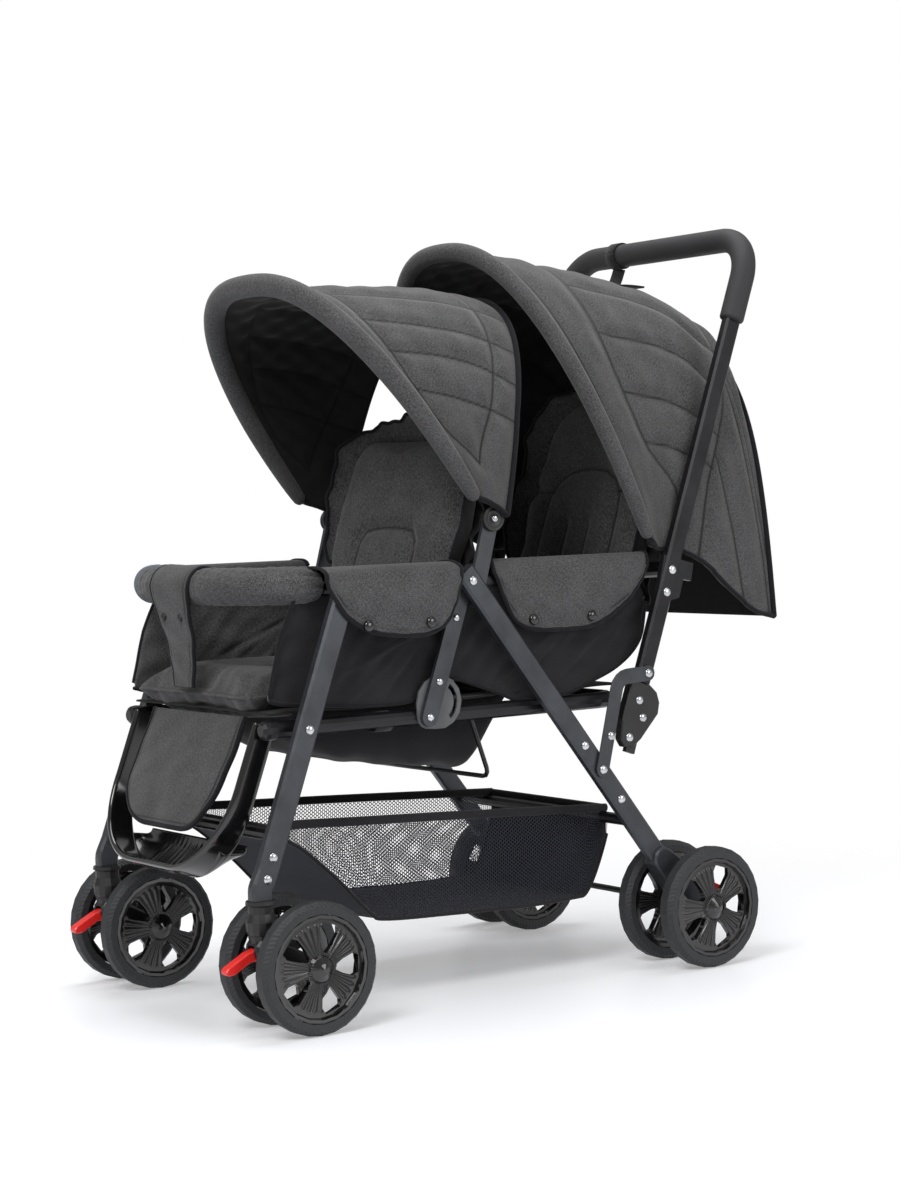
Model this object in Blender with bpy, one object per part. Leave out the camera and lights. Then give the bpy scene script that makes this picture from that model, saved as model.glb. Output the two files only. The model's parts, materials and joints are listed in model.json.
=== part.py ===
"""Tandem double stroller: two seats one behind the other on a folding frame of legs, uprights, armrests and a
push handle. +Z is up, the children face -Y, and +X is the children's left. Lengths are in metres.

The frame is drawn with Y = 0 midway between the axles. An empty called stroller shifts all of it, so that the
world origin is at the middle of the bounding box's floor."""

import math

import bmesh
import bpy
import numpy as np
from mathutils import Vector

# Driving dimensions
FRAME_SHIFT_Y = -0.0420
WHEEL_RADIUS = 0.0825
WHEEL_WIDTH = 0.026
TRACK_X = 0.2035
TWIN_X = 0.0445
FRONT_AXLE_Y = -0.314
REAR_AXLE_Y = 0.318
CASTER_TRAIL = 0.050
RAIL_Z = 0.370
RAIL_X = 0.174
RAIL_RADIUS = 0.011
RAIL_FRONT_Y = -0.325
RAIL_REAR_Y = 0.225
ARM_X = 0.172
ARM_RADIUS = 0.011
LEG_INNER_X = 0.196
LEG_OUTER_X = 0.211
LEG_DEPTH = 0.030
UPRIGHT_INNER_X = 0.1886
UPRIGHT_OUTER_X = 0.1946
LINK_INNER_X = 0.2125
LINK_OUTER_X = 0.2155
PIN_RADIUS = 0.004
PIN_PLAY = 0.0004
AXLE_RADIUS = 0.0045
AXLE_BORE = 0.0050
GAP = 0.0003
HANDLE_LEAN = 0.364
HANDLE_TOP_Z = 1.002
HANDLE_GRIP_Z = 0.885
SEAT_HALF_WIDTH = 0.160

# Pivots of the folding frame as (y, z). The legs, the uprights, the rails and the armrests make a parallelogram.
ARM_RISE = (0.062, 0.173)
LEG_ON_RAIL = (-0.290, RAIL_Z)
UPRIGHT_ON_RAIL = (-0.098, RAIL_Z)
LEG_ON_ARM = (LEG_ON_RAIL[0] + ARM_RISE[0], LEG_ON_RAIL[1] + ARM_RISE[1])
UPRIGHT_ON_ARM = (UPRIGHT_ON_RAIL[0] + ARM_RISE[0], UPRIGHT_ON_RAIL[1] + ARM_RISE[1])
ARM_Z = LEG_ON_ARM[1]
HANDLE_ON_ARM = (0.298, ARM_Z)
CANOPY_ON_UPRIGHT = (0.008, 0.622)
CANOPY_ON_HANDLE = (0.276, 0.580)
FRONT_BACK_HINGE = (-0.070, 0.405)
REAR_BACK_HINGE = (0.260, 0.428)
BRAKE_PIVOT = (0.340, 0.106)
SWIVEL_LOCK_PIVOT = (-0.3760, 0.1010)


def handle_point(z):
    """A point of the handle's side tube at this height, as (y, z)."""
    return (HANDLE_ON_ARM[0] + (z - HANDLE_ON_ARM[1]) * HANDLE_LEAN, z)


def rear_leg_point(z):
    """A point of the rear leg's middle line at this height, as (y, z)."""
    run = REAR_AXLE_Y - UPRIGHT_ON_ARM[0]
    fall = UPRIGHT_ON_ARM[1] - WHEEL_RADIUS
    return (UPRIGHT_ON_ARM[0] + (UPRIGHT_ON_ARM[1] - z) * run / fall, z)


KNEE = handle_point(0.405)
LINK_ON_LEG = rear_leg_point(0.281)

# Each body's pivot as (x, y, z) and the body that carries it
BODIES = {
    "seat_frame": ((0, 0, 0), None),
    "front_legs": ((0, *LEG_ON_RAIL), "seat_frame"),
    "uprights": ((0, *UPRIGHT_ON_RAIL), "seat_frame"),
    "armrests": ((0, *UPRIGHT_ON_ARM), "uprights"),
    "bumper": ((0, LEG_ON_ARM[0], ARM_Z), "armrests"),
    "rear_legs": ((0, *UPRIGHT_ON_ARM), "uprights"),
    "handle": ((0, *HANDLE_ON_ARM), "armrests"),
    "links": ((0, *LINK_ON_LEG), "rear_legs"),
    "front_canopy_body": ((0, *CANOPY_ON_UPRIGHT), "uprights"),
    "rear_canopy_body": ((0, *CANOPY_ON_HANDLE), "handle"),
    "front_back": ((0, *FRONT_BACK_HINGE), "seat_frame"),
    "rear_back": ((0, *REAR_BACK_HINGE), "seat_frame"),
}
for side_name, side_sign in (("left", 1), ("right", -1)):
    caster_x = side_sign * TRACK_X
    BODIES[f"caster_{side_name}"] = ((caster_x, FRONT_AXLE_Y - CASTER_TRAIL, 0.125), "front_legs")
    BODIES[f"swivel_lock_{side_name}"] = ((caster_x, *SWIVEL_LOCK_PIVOT), f"caster_{side_name}")
    BODIES[f"brake_{side_name}"] = ((caster_x, *BRAKE_PIVOT), "rear_legs")
    for place, twin_sign in (("outer", 1), ("inner", -1)):
        wheel_x = side_sign * (TRACK_X + twin_sign * TWIN_X)
        BODIES[f"front_wheel_{side_name}_{place}"] = (
            (wheel_x, FRONT_AXLE_Y, WHEEL_RADIUS),
            f"caster_{side_name}",
        )
        BODIES[f"rear_wheel_{side_name}_{place}"] = ((wheel_x, REAR_AXLE_Y, WHEEL_RADIUS), "rear_legs")

# Colour, roughness and metallic value of each finish
FINISHES = {
    "leg_metal": ((0.075, 0.08, 0.09, 1), 0.36, 0.8),
    "black_metal": ((0.02, 0.02, 0.022, 1), 0.42, 0.6),
    "black_plastic": ((0.015, 0.015, 0.016, 1), 0.45, 0.0),
    "gloss_plastic": ((0.01, 0.01, 0.011, 1), 0.18, 0.0),
    "grey_plastic": ((0.12, 0.12, 0.125, 1), 0.5, 0.0),
    "red_plastic": ((0.75, 0.015, 0.015, 1), 0.4, 0.0),
    "tyre": ((0.03, 0.03, 0.032, 1), 0.75, 0.0),
    "foam": ((0.03, 0.031, 0.034, 1), 0.9, 0.0),
    "grey_fabric": ((0.09, 0.09, 0.092, 1), 0.95, 0.0),
    "black_fabric": ((0.012, 0.012, 0.014, 1), 0.9, 0.0),
    "mesh_fabric": ((0.02, 0.022, 0.035, 1), 0.9, 0.0),
}


def clear_scene():
    for old in list(bpy.data.objects):
        bpy.data.objects.remove(old, do_unlink=True)


def finish_material(name):
    found = bpy.data.materials.get(name)
    if found:
        return found
    colour, roughness, metallic = FINISHES[name]
    made = bpy.data.materials.new(name)
    made.use_nodes = True
    shader = made.node_tree.nodes["Principled BSDF"]
    shader.inputs["Base Color"].default_value = colour
    shader.inputs["Roughness"].default_value = roughness
    shader.inputs["Metallic"].default_value = metallic
    made.diffuse_color = colour
    return made


def solid(name, points, faces):
    """A new object from points and faces, with doubles merged and every face pointing out."""
    mesh = bpy.data.meshes.new(name)
    work = bmesh.new()
    corners = [work.verts.new(Vector(point)) for point in points]
    for face in faces:
        work.faces.new([corners[index] for index in face])
    bmesh.ops.remove_doubles(work, verts=work.verts, dist=1e-6)
    bmesh.ops.dissolve_degenerate(work, edges=work.edges, dist=1e-7)
    bmesh.ops.recalc_face_normals(work, faces=work.faces)
    work.to_mesh(mesh)
    work.free()
    made = bpy.data.objects.new(name, mesh)
    bpy.context.scene.collection.objects.link(made)
    return made


def evaluated_mesh(obj):
    bpy.context.view_layer.update()
    graph = bpy.context.evaluated_depsgraph_get()
    return bpy.data.meshes.new_from_object(obj.evaluated_get(graph))


def combine(base, tools, operation):
    """Joins the tools to the base, or cuts them from it, and removes them."""
    for tool in tools:
        step = base.modifiers.new(operation.lower(), "BOOLEAN")
        step.operation = operation
        step.solver = "EXACT"
        step.object = tool
        base.data = evaluated_mesh(base)
        base.modifiers.clear()
        bpy.data.objects.remove(tool, do_unlink=True)
    return base


def fuse(base, *tools):
    return combine(base, tools, "UNION")


def cut(base, *tools):
    return combine(base, tools, "DIFFERENCE")


def soften(obj, width):
    """A one-step bevel on the sharp edges, which rounds a plate or a moulding."""
    step = obj.modifiers.new("bevel", "BEVEL")
    step.width = width
    step.segments = 1
    step.limit_method = "ANGLE"
    step.angle_limit = math.radians(40)
    obj.data = evaluated_mesh(obj)
    obj.modifiers.clear()
    return obj


def mirrored(obj, name):
    """A copy for the other side, mirrored in X with its faces still pointing out."""
    mesh = obj.data.copy()
    work = bmesh.new()
    work.from_mesh(mesh)
    for corner in work.verts:
        corner.co.x = -corner.co.x
    bmesh.ops.reverse_faces(work, faces=work.faces)
    work.to_mesh(mesh)
    work.free()
    made = bpy.data.objects.new(name, mesh)
    bpy.context.scene.collection.objects.link(made)
    return made


def add_bodies():
    """An empty on each body's joint axis, parented as the joints chain."""
    root = bpy.data.objects.new("stroller", None)
    root.location = (0, FRAME_SHIFT_Y, 0)
    bpy.context.scene.collection.objects.link(root)
    for name, (pivot, parent) in BODIES.items():
        axis = bpy.data.objects.new(f"{name}_axis", None)
        axis.empty_display_size = 0.03
        bpy.context.scene.collection.objects.link(axis)
        start = BODIES[parent][0] if parent else (0, 0, 0)
        axis.location = Vector(pivot) - Vector(start)
        axis.parent = bpy.data.objects[f"{parent}_axis"] if parent else root


def place(obj, name, body, finish):
    """Names a finished solid, gives it its material and hangs it on its body with its origin on the axis."""
    obj.name = name
    obj.data.name = name
    pivot = Vector(BODIES[body][0])
    for corner in obj.data.vertices:
        corner.co -= pivot
    obj.data.materials.clear()
    obj.data.materials.append(finish_material(finish))
    obj.data.shade_smooth()
    obj.data.set_sharp_from_angle(angle=math.radians(35))
    obj.parent = bpy.data.objects[f"{body}_axis"]
    return obj


def place_pair(obj, name, body, finish):
    """Places a left-hand solid and its mirror image. A body name that holds {side} gets each side's own."""
    other = mirrored(obj, f"{name}_right")
    place(obj, f"{name}_left", body.format(side="left"), finish)
    place(other, f"{name}_right", body.format(side="right"), finish)


def rounded_rectangle(depth, width, radius):
    """A section with one chamfer-like step at each corner, as offsets (in the path's plane, across it)."""
    points = []
    for sign_a, sign_b in ((1, 1), (-1, 1), (-1, -1), (1, -1)):
        near = (sign_a * (depth / 2 - radius), sign_b * width / 2)
        far = (sign_a * depth / 2, sign_b * (width / 2 - radius))
        points += [far, near] if sign_a * sign_b > 0 else [near, far]
    return points


def circle(radius, count):
    turns = [2 * math.pi * (step + 0.5) / count for step in range(count)]
    return [(radius * math.cos(turn), radius * math.sin(turn)) for turn in turns]


def filleted(points, radius, steps):
    """The path through these points with each inner corner made an arc of this radius."""
    points = [Vector(point) for point in points]
    path = [points[0]]
    for before, corner, after in zip(points, points[1:], points[2:]):
        back = (before - corner).normalized()
        on = (after - corner).normalized()
        half = back.angle(on) / 2
        centre = corner + (back + on).normalized() * radius / math.sin(half)
        first = corner + back * radius / math.tan(half) - centre
        last = corner + on * radius / math.tan(half) - centre
        for step in range(steps + 1):
            path.append(centre + first.normalized().slerp(last.normalized(), step / steps) * radius)
    path.append(points[-1])
    return path


def ring_faces(rings, count, closed_ends=True):
    faces = []
    for ring in range(rings - 1):
        for side in range(count):
            after = (side + 1) % count
            start, above = ring * count, (ring + 1) * count
            faces.append((start + side, start + after, above + after, above + side))
    if closed_ends:
        faces.append(tuple(range(count)))
        faces.append(tuple((rings - 1) * count + side for side in range(count)))
    return faces


def path_frames(path, normal):
    """For each point of a planar path: the direction across the path in its plane, and the plane's normal."""
    path = [Vector(point) for point in path]
    normal = Vector(normal).normalized()
    frames = []
    for index in range(len(path)):
        before = path[max(index - 1, 0)]
        after = path[min(index + 1, len(path) - 1)]
        along = (after - before).normalized()
        frames.append((path[index], along.cross(normal).normalized(), normal))
    return frames


def swept(path, section, normal, scales=None):
    """A solid bar with this section along a planar path. Scales widen or narrow the section point by point."""
    points = []
    for index, (centre, across, up) in enumerate(path_frames(path, normal)):
        scale = scales[index] if scales else 1
        points += [centre + across * a * scale + up * b * scale for a, b in section]
    return solid("swept", points, ring_faces(len(path), len(section)))


def swept_sleeve(path, outer, inner, normal):
    """A sleeve along a planar path, with an outer and an inner section of the same number of points."""
    count = len(outer)
    rings = len(path)
    points = []
    for section in (outer, inner):
        for centre, across, up in path_frames(path, normal):
            points += [centre + across * a + up * b for a, b in section]
    faces = ring_faces(rings, count, closed_ends=False)
    second = rings * count
    faces += [tuple(second + index for index in face[::-1]) for face in faces]
    for start in (0, (rings - 1) * count):
        for side in range(count):
            after = (side + 1) % count
            faces.append((start + side, start + after, second + start + after, second + start + side))
    return solid("sleeve", points, faces)


def turned(profile, centre, axis, count, closed=False):
    """A turned solid: the profile's (along, radius) points go round the axis through the centre."""
    along = Vector(axis).normalized()
    first = Vector((0, 0, -1)) if abs(along.z) < 0.5 else Vector((0, -1, 0))
    second = along.cross(first)
    points = []
    for distance, radius in profile:
        for step in range(count):
            turn = 2 * math.pi * step / count
            spoke = first * math.cos(turn) + second * math.sin(turn)
            points.append(Vector(centre) + along * distance + spoke * radius)
    faces = ring_faces(len(profile), count, closed_ends=not closed)
    if closed:
        last = (len(profile) - 1) * count
        for side in range(count):
            after = (side + 1) % count
            faces.append((last + side, last + after, after, side))
    return solid("turned", points, faces)


def pin(x0, x1, centre, radius, count=8):
    """A round pin or cutter along X between two places, round a (y, z) centre."""
    return turned([(0, radius), (x1 - x0, radius)], (x0, *centre), (1, 0, 0), count)


def rivet(x, centre, radius=0.0058):
    """A domed rivet head whose flat side is sunk a little below the face at x."""
    profile = [(-0.0010, radius), (0.0008, radius), (0.0024, radius * 0.55)]
    return turned(profile, (x, *centre), (1, 0, 0), 8)


def plate(outline, x0, x1):
    """A flat plate across X with this (y, z) outline."""
    count = len(outline)
    points = [(x0, y, z) for y, z in outline] + [(x1, y, z) for y, z in outline]
    return solid("plate", points, ring_faces(2, count))


def block(low, high):
    points = [(x, y, z) for x in (low[0], high[0]) for y in (low[1], high[1]) for z in (low[2], high[2])]
    faces = [(0, 1, 3, 2), (4, 6, 7, 5), (0, 4, 5, 1), (2, 3, 7, 6), (0, 2, 6, 4), (1, 5, 7, 3)]
    return solid("block", points, faces)


def hull(circles, count=14):
    """The outline round these circles, each given as (y, z, radius), like a band pulled tight round discs."""
    cloud = []
    for y, z, radius in circles:
        for step in range(count):
            turn = 2 * math.pi * step / count
            cloud.append((y + radius * math.cos(turn), z + radius * math.sin(turn)))
    cloud = sorted(set(cloud))
    outline = []
    for half in (cloud, cloud[::-1]):
        start = len(outline)
        for point in half:
            while len(outline) - start >= 2:
                a, b = outline[-2], outline[-1]
                if (b[0] - a[0]) * (point[1] - a[1]) > (b[1] - a[1]) * (point[0] - a[0]) + 1e-12:
                    break
                outline.pop()
            outline.append(point)
        outline.pop()
    return outline


def rounded_block(low, high, radius, corners=3):
    """A cushion-like block: its plan has round corners and its top and bottom edges are chamfered."""
    x0, y0, z0 = low
    x1, y1, z1 = high
    inset = min(radius * 0.5, (z1 - z0) * 0.35)
    points = []
    for z, shrink in ((z0, inset), (z0 + inset, 0), (z1 - inset, 0), (z1, inset)):
        for middle_x, middle_y, start in (
            (x1 - radius, y1 - radius, 0),
            (x0 + radius, y1 - radius, 1),
            (x0 + radius, y0 + radius, 2),
            (x1 - radius, y0 + radius, 3),
        ):
            for step in range(corners + 1):
                turn = math.pi / 2 * (start + step / corners)
                reach = radius - shrink
                points.append((middle_x + reach * math.cos(turn), middle_y + reach * math.sin(turn), z))
    return solid("cushion", points, ring_faces(4, 4 * (corners + 1)))


def arch(hinge, angle, reach, half_width, base_half_width, power, count):
    """A canopy bow: a rounded arch from one side's hinge over the top to the other side's.

    It lies in a plane through both hinges that rises at this angle from straight ahead."""
    lean = math.radians(angle)
    points = []
    for step in range(count):
        turn = math.pi * step / (count - 1)
        rise = abs(math.sin(turn)) ** (2 / power) if 0 < step < count - 1 else 0.0
        spread = abs(math.cos(turn)) ** (2 / power)
        narrow = base_half_width / half_width
        widen = narrow + (1 - narrow) * min(2.2 * rise, 1)
        x = math.copysign(half_width * spread * widen, math.cos(turn))
        points.append(Vector((x, hinge[0] - reach * rise * math.cos(lean), hinge[1] + reach * rise * math.sin(lean))))
    return points


def sheet(rows, thickness):
    """A sheet through rows of points, made a wall of this thickness towards the inside."""
    count = len(rows[0])
    points = [point for row in rows for point in row]
    mesh_points = np.array([list(point) for point in points]).reshape(len(rows), count, 3)
    along = np.gradient(mesh_points, axis=0)
    across = np.gradient(mesh_points, axis=1)
    normals = np.cross(across, along)
    normals /= np.linalg.norm(normals, axis=2, keepdims=True)
    middle = mesh_points.mean(axis=(0, 1))
    if ((mesh_points - middle) * normals).sum() < 0:
        normals = -normals
    inner = mesh_points - normals * thickness
    points += [Vector(point) for point in inner.reshape(-1, 3)]
    half = len(rows) * count
    faces = []
    for row in range(len(rows) - 1):
        for column in range(count - 1):
            a = row * count + column
            quad = (a, a + 1, a + count + 1, a + count)
            faces += [quad, tuple(half + index for index in quad[::-1])]
    edge = [column for column in range(count)]
    edge += [row * count + count - 1 for row in range(1, len(rows))]
    edge += [(len(rows) - 1) * count + column for column in range(count - 2, -1, -1)]
    edge += [row * count for row in range(len(rows) - 2, 0, -1)]
    for first, second in zip(edge, edge[1:] + edge[:1]):
        faces.append((first, second, half + second, half + first))
    return solid("sheet", points, faces)


def rolled_edge(path, radius, base_radius, sides=7):
    """The padded roll round a canopy's front bow, thinner towards its two ends."""
    count = len(path)
    points = []
    for index, centre in enumerate(path):
        before = path[max(index - 1, 0)]
        after = path[min(index + 1, count - 1)]
        along = (after - before).normalized()
        across = along.cross(Vector((0, 1, 0.6))).normalized()
        up = across.cross(along)
        fullness = math.sin(math.pi * index / (count - 1)) ** 0.35 if 0 < index < count - 1 else 0
        size = base_radius + (radius - base_radius) * fullness
        points += [centre + across * a * size + up * b * size for a, b in circle(1, sides)]
    return solid("roll", points, ring_faces(count, sides))


# Seat frame


def seat_frame_tube():
    """One tube: both seat rails and the bend behind the rear seat, with its pivot bores and front knobs."""
    corners = [
        (RAIL_X, RAIL_FRONT_Y, RAIL_Z),
        (RAIL_X, RAIL_REAR_Y, RAIL_Z),
        (-RAIL_X, RAIL_REAR_Y, RAIL_Z),
        (-RAIL_X, RAIL_FRONT_Y, RAIL_Z),
    ]
    tube = swept(filleted(corners, 0.035, 4), circle(RAIL_RADIUS, 12), (0, 0, 1))
    for sign in (1, -1):
        knob = [(-0.006, 0.0125), (0.004, 0.0130), (0.010, 0.0120), (0.014, 0.0075)]
        fuse(tube, turned(knob, (sign * RAIL_X, RAIL_FRONT_Y, RAIL_Z), (0, -1, 0), 10))
        for pivot in (LEG_ON_RAIL, UPRIGHT_ON_RAIL):
            low, high = sorted((sign * 0.150, sign * 0.200))
            cut(tube, pin(low, high, pivot, PIN_RADIUS + PIN_PLAY))
    place(tube, "seat_frame_tube", "seat_frame", "black_metal")


def footwell_hoop():
    """The wire that hangs from the rails and carries the rear child's footwell."""
    corners = [
        (0.1595, -0.010, 0.3600),
        (0.1420, 0.030, 0.2780),
        (-0.1420, 0.030, 0.2780),
        (-0.1595, -0.010, 0.3600),
    ]
    plane = (Vector(corners[1]) - Vector(corners[0])).cross(Vector((1, 0, 0)))
    wire = swept(filleted(corners, 0.018, 3), circle(0.0032, 7), plane)
    place(wire, "footwell_hoop", "seat_frame", "black_metal")


def seat_cushions():
    front = rounded_block((-SEAT_HALF_WIDTH, -0.352, 0.3865), (SEAT_HALF_WIDTH, -0.092, 0.430), 0.035)
    place(front, "front_seat_cushion", "seat_frame", "grey_fabric")
    rear = rounded_block((-SEAT_HALF_WIDTH, 0.050, 0.3865), (SEAT_HALF_WIDTH, 0.238, 0.432), 0.03)
    place(rear, "rear_seat_cushion", "seat_frame", "grey_fabric")


def seat_tub():
    """The sewn black tub: side panels, the floor under both seats and the rear child's footwell."""
    floor_low, floor_high = 0.3817, 0.3847
    outline = [(-0.328, floor_low), (-0.302, 0.486), (-0.290, 0.4960), (0.140, 0.4960), (0.165, 0.5120)]
    outline += [(0.262, 0.5220), (0.262, 0.470), (0.215, 0.395), (0.195, floor_low)]
    tub = plate(outline, -0.1805, 0.1805)
    inside = [(-0.340, floor_high), (-0.340, 0.560), (0.300, 0.560), (0.300, floor_high)]
    cut(tub, plate(inside, -0.1777, 0.1777))
    well = [(-0.262, 0.386), (-0.240, 0.345), (-0.190, 0.318), (-0.100, 0.302), (0.000, 0.290), (0.020, 0.292)]
    well += [(0.078, 0.386)]
    hollow = [(-0.2563, floor_low), (-0.2378, 0.3475), (-0.1888, 0.3209), (-0.0995, 0.3050), (0.0002, 0.2930)]
    hollow += [(0.0182, 0.2948), (0.0718, floor_low)]
    trough = plate(well, -0.130, 0.130)
    cut(trough, plate(hollow, -0.127, 0.127))
    fuse(tub, trough)
    cut(tub, block((-0.1265, -0.036, 0.370), (0.1265, 0.044, 0.400)))
    for sign in (1, -1):
        low_x, high_x = sorted((sign * 0.157, sign * 0.190))
        cut(tub, block((low_x, -0.360, 0.370), (high_x, -0.305, 0.400)))
    place(tub, "seat_tub", "seat_frame", "black_fabric")


def basket():
    """The mesh basket under the seats, open at the top."""
    outline = [(-0.3140, 0.2225), (-0.3140, 0.204), (-0.225, 0.152), (-0.150, 0.112), (0.100, 0.096)]
    outline += [(0.188, 0.098), (0.2130, 0.180), (0.2130, 0.2100), (0.165, 0.2190), (-0.026, 0.2275)]
    outline += [(-0.225, 0.2380), (-0.250, 0.2295), (-0.275, 0.2235)]
    bag = plate(outline, -0.138, 0.138)
    inside = [(-0.3105, 0.300), (-0.3105, 0.206), (-0.223, 0.155), (-0.149, 0.115), (0.100, 0.099)]
    inside += [(0.186, 0.101), (0.2095, 0.182), (0.2095, 0.300)]
    cut(bag, plate(inside, -0.135, 0.135))
    place(bag, "basket", "seat_frame", "mesh_fabric")


def footrest():
    """The moulded hoop that hangs from the front ends of the rails, and the foot tray that fits behind its foot."""
    corners = [
        (0.1557, -0.322, 0.374),
        (0.1557, -0.392, 0.190),
        (-0.1557, -0.392, 0.190),
        (-0.1557, -0.322, 0.374),
    ]
    plane = (Vector(corners[1]) - Vector(corners[0])).cross(Vector((1, 0, 0)))
    path = filleted(corners, 0.105, 8)
    hoop = swept(path, rounded_rectangle(0.0085, 0.034, 0.003), plane)
    tray = rounded_block((-0.145, -0.3775, 0.176), (0.145, -0.335, 0.200), 0.018, 4)
    cut(tray, rounded_block((-0.138, -0.3700, 0.181), (0.138, -0.342, 0.225), 0.012, 4))
    cut(tray, swept(path, rounded_rectangle(0.0085 + 2 * GAP, 0.034 + 2 * GAP, 0.003), plane))
    place(hoop, "footrest_hoop", "seat_frame", "gloss_plastic")
    place(tray, "footrest_tray", "seat_frame", "gloss_plastic")


def calf_flap():
    """The soft flap that hangs from the front of the seat."""
    top, bottom, half, radius = (-0.326, 0.3790), (-0.368, 0.2400), 0.115, 0.070
    fall = Vector((0, bottom[0] - top[0], bottom[1] - top[1]))
    length = fall.length
    down = fall.normalized()
    outline = [(-half + 0.002, 0.0), (-half, length - radius)]
    for step in range(1, 6):
        turn = math.pi / 2 * step / 5
        outline.append((-half + radius * (1 - math.cos(turn)), length - radius + radius * math.sin(turn)))
    outline += [(-x, depth) for x, depth in outline[::-1]]
    away = Vector((0, -down.z, down.y)) * 0.004
    points = [Vector((x, *top)) + down * depth for x, depth in outline]
    points += [point + away for point in points]
    place(solid("flap", points, ring_faces(2, len(outline))), "calf_flap", "seat_frame", "grey_fabric")


def lock_quadrants():
    """The plate on the rail behind each upright, with its curved slot."""
    centre = (-0.0790, 0.3880)
    guard = plate(hull([(*centre, 0.0350), (*UPRIGHT_ON_RAIL, 0.0150)]), 0.1854, 0.1882)
    slot = []
    for radius, order in ((0.0285, range(7)), (0.0225, range(6, -1, -1))):
        for step in order:
            turn = math.radians(-52 + 104 * step / 6)
            slot.append((centre[0] + radius * math.cos(turn), centre[1] + radius * math.sin(turn)))
    cut(guard, plate(slot, 0.180, 0.200), pin(0.180, 0.200, UPRIGHT_ON_RAIL, PIN_RADIUS + PIN_PLAY))
    place_pair(guard, "lock_quadrant", "seat_frame", "grey_plastic")


# Front legs and casters


def front_legs():
    """Flat oval tubes from the armrests to the casters, with their pivot pins and rivets."""
    caster_y = FRONT_AXLE_Y - CASTER_TRAIL
    lean = 0.378
    middle_x = (LEG_INNER_X + LEG_OUTER_X) / 2
    top_z = LEG_ON_ARM[1] + 0.008
    low_z = 0.200
    low_y = LEG_ON_RAIL[0] - (RAIL_Z - low_z) * lean
    corners = [
        (middle_x, LEG_ON_ARM[0] + 0.004, top_z),
        (middle_x, low_y, low_z),
        (middle_x, caster_y, 0.180),
        (middle_x, caster_y, 0.1665),
    ]
    leg = swept(filleted(corners, 0.012, 2), rounded_rectangle(LEG_DEPTH, LEG_OUTER_X - LEG_INNER_X, 0.003), (1, 0, 0))
    fuse(leg, pin(0.1860, LEG_INNER_X + 0.001, LEG_ON_ARM, 0.0085), pin(0.1640, 0.1900, LEG_ON_ARM, PIN_RADIUS))
    fuse(leg, pin(0.1860, LEG_INNER_X + 0.001, LEG_ON_RAIL, 0.0085), pin(0.1640, 0.1900, LEG_ON_RAIL, PIN_RADIUS))
    for centre in (LEG_ON_RAIL, (low_y + 0.006, 0.218), (low_y - 0.003, 0.192)):
        fuse(leg, rivet(LEG_OUTER_X, centre))
    place_pair(leg, "front_leg", "front_legs", "leg_metal")
    bar = swept([(-0.1957, 0, 0), (0.1957, 0, 0)], circle(0.0080, 10), (0, 0, 1))
    for corner in bar.data.vertices:
        corner.co += Vector((0, -0.3275, 0.2400))
    place(bar, "front_crossbar", "front_legs", "black_metal")


def caster_sockets():
    """The bell-shaped socket on the foot of each front leg, bored for the caster's stem."""
    foot = (TRACK_X, FRONT_AXLE_Y - CASTER_TRAIL, 0.1250)
    bell = [(0.0412, 0.0185), (0.0370, 0.0190), (0.0350, 0.0160), (0.0260, 0.0160), (0.0160, 0.0195)]
    bell += [(0.0040, 0.0185), (0.0000, 0.0170)]
    socket = turned(bell[::-1], foot, (0, 0, 1), 14)
    cut(socket, turned([(-0.010, 0.0064), (0.0300, 0.0064)], foot, (0, 0, 1), 10))
    place_pair(socket, "caster_socket", "front_legs", "black_plastic")


def caster_forks():
    """The swivelling fork between each pair of front wheels, with its stem and the axle pressed into it."""
    stem_y = FRONT_AXLE_Y - CASTER_TRAIL
    circles = [(stem_y, 0.1060, 0.0165), (stem_y, 0.1100, 0.0135), (FRONT_AXLE_Y, WHEEL_RADIUS, 0.0150)]
    fork = plate(hull(circles), TRACK_X - 0.0150, TRACK_X + 0.0150)
    soften(fork, 0.003)
    stem = (TRACK_X, stem_y, 0.1140)
    collar = [(0, 0.0140), (0.0070, 0.0165), (0.0105, 0.0165)]
    fuse(fork, turned(collar, stem, (0, 0, 1), 12), turned([(0, 0.0059), (0.0400, 0.0059)], stem, (0, 0, 1), 10))
    reach = TWIN_X + 0.0110
    fuse(fork, pin(TRACK_X - reach, TRACK_X + reach, (FRONT_AXLE_Y, WHEEL_RADIUS), AXLE_RADIUS))
    # The notch at the front that the swivel lock turns in
    cut(fork, block((TRACK_X - 0.0078, stem_y - 0.030, 0.086), (TRACK_X + 0.0078, stem_y - 0.0015, 0.1125)))
    fuse(fork, pin(TRACK_X - 0.0100, TRACK_X + 0.0100, SWIVEL_LOCK_PIVOT, 0.0025))
    place_pair(fork, "caster_fork", "caster_{side}", "black_plastic")
    y, z = SWIVEL_LOCK_PIVOT
    lever = [(y + 0.008, z + 0.006), (y, z + 0.0075), (y - 0.012, z + 0.004), (y - 0.040, z - 0.011)]
    lever += [(y - 0.044, z - 0.016), (y - 0.040, z - 0.021), (y - 0.030, z - 0.020), (y - 0.008, z - 0.008)]
    lever += [(y + 0.004, z - 0.007)]
    tongue = plate(lever, TRACK_X - 0.0072, TRACK_X + 0.0072)
    soften(tongue, 0.0015)
    cut(tongue, pin(TRACK_X - 0.020, TRACK_X + 0.020, SWIVEL_LOCK_PIVOT, 0.0030))
    place_pair(tongue, "swivel_lock", "swivel_lock_{side}", "red_plastic")


# Wheels


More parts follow.
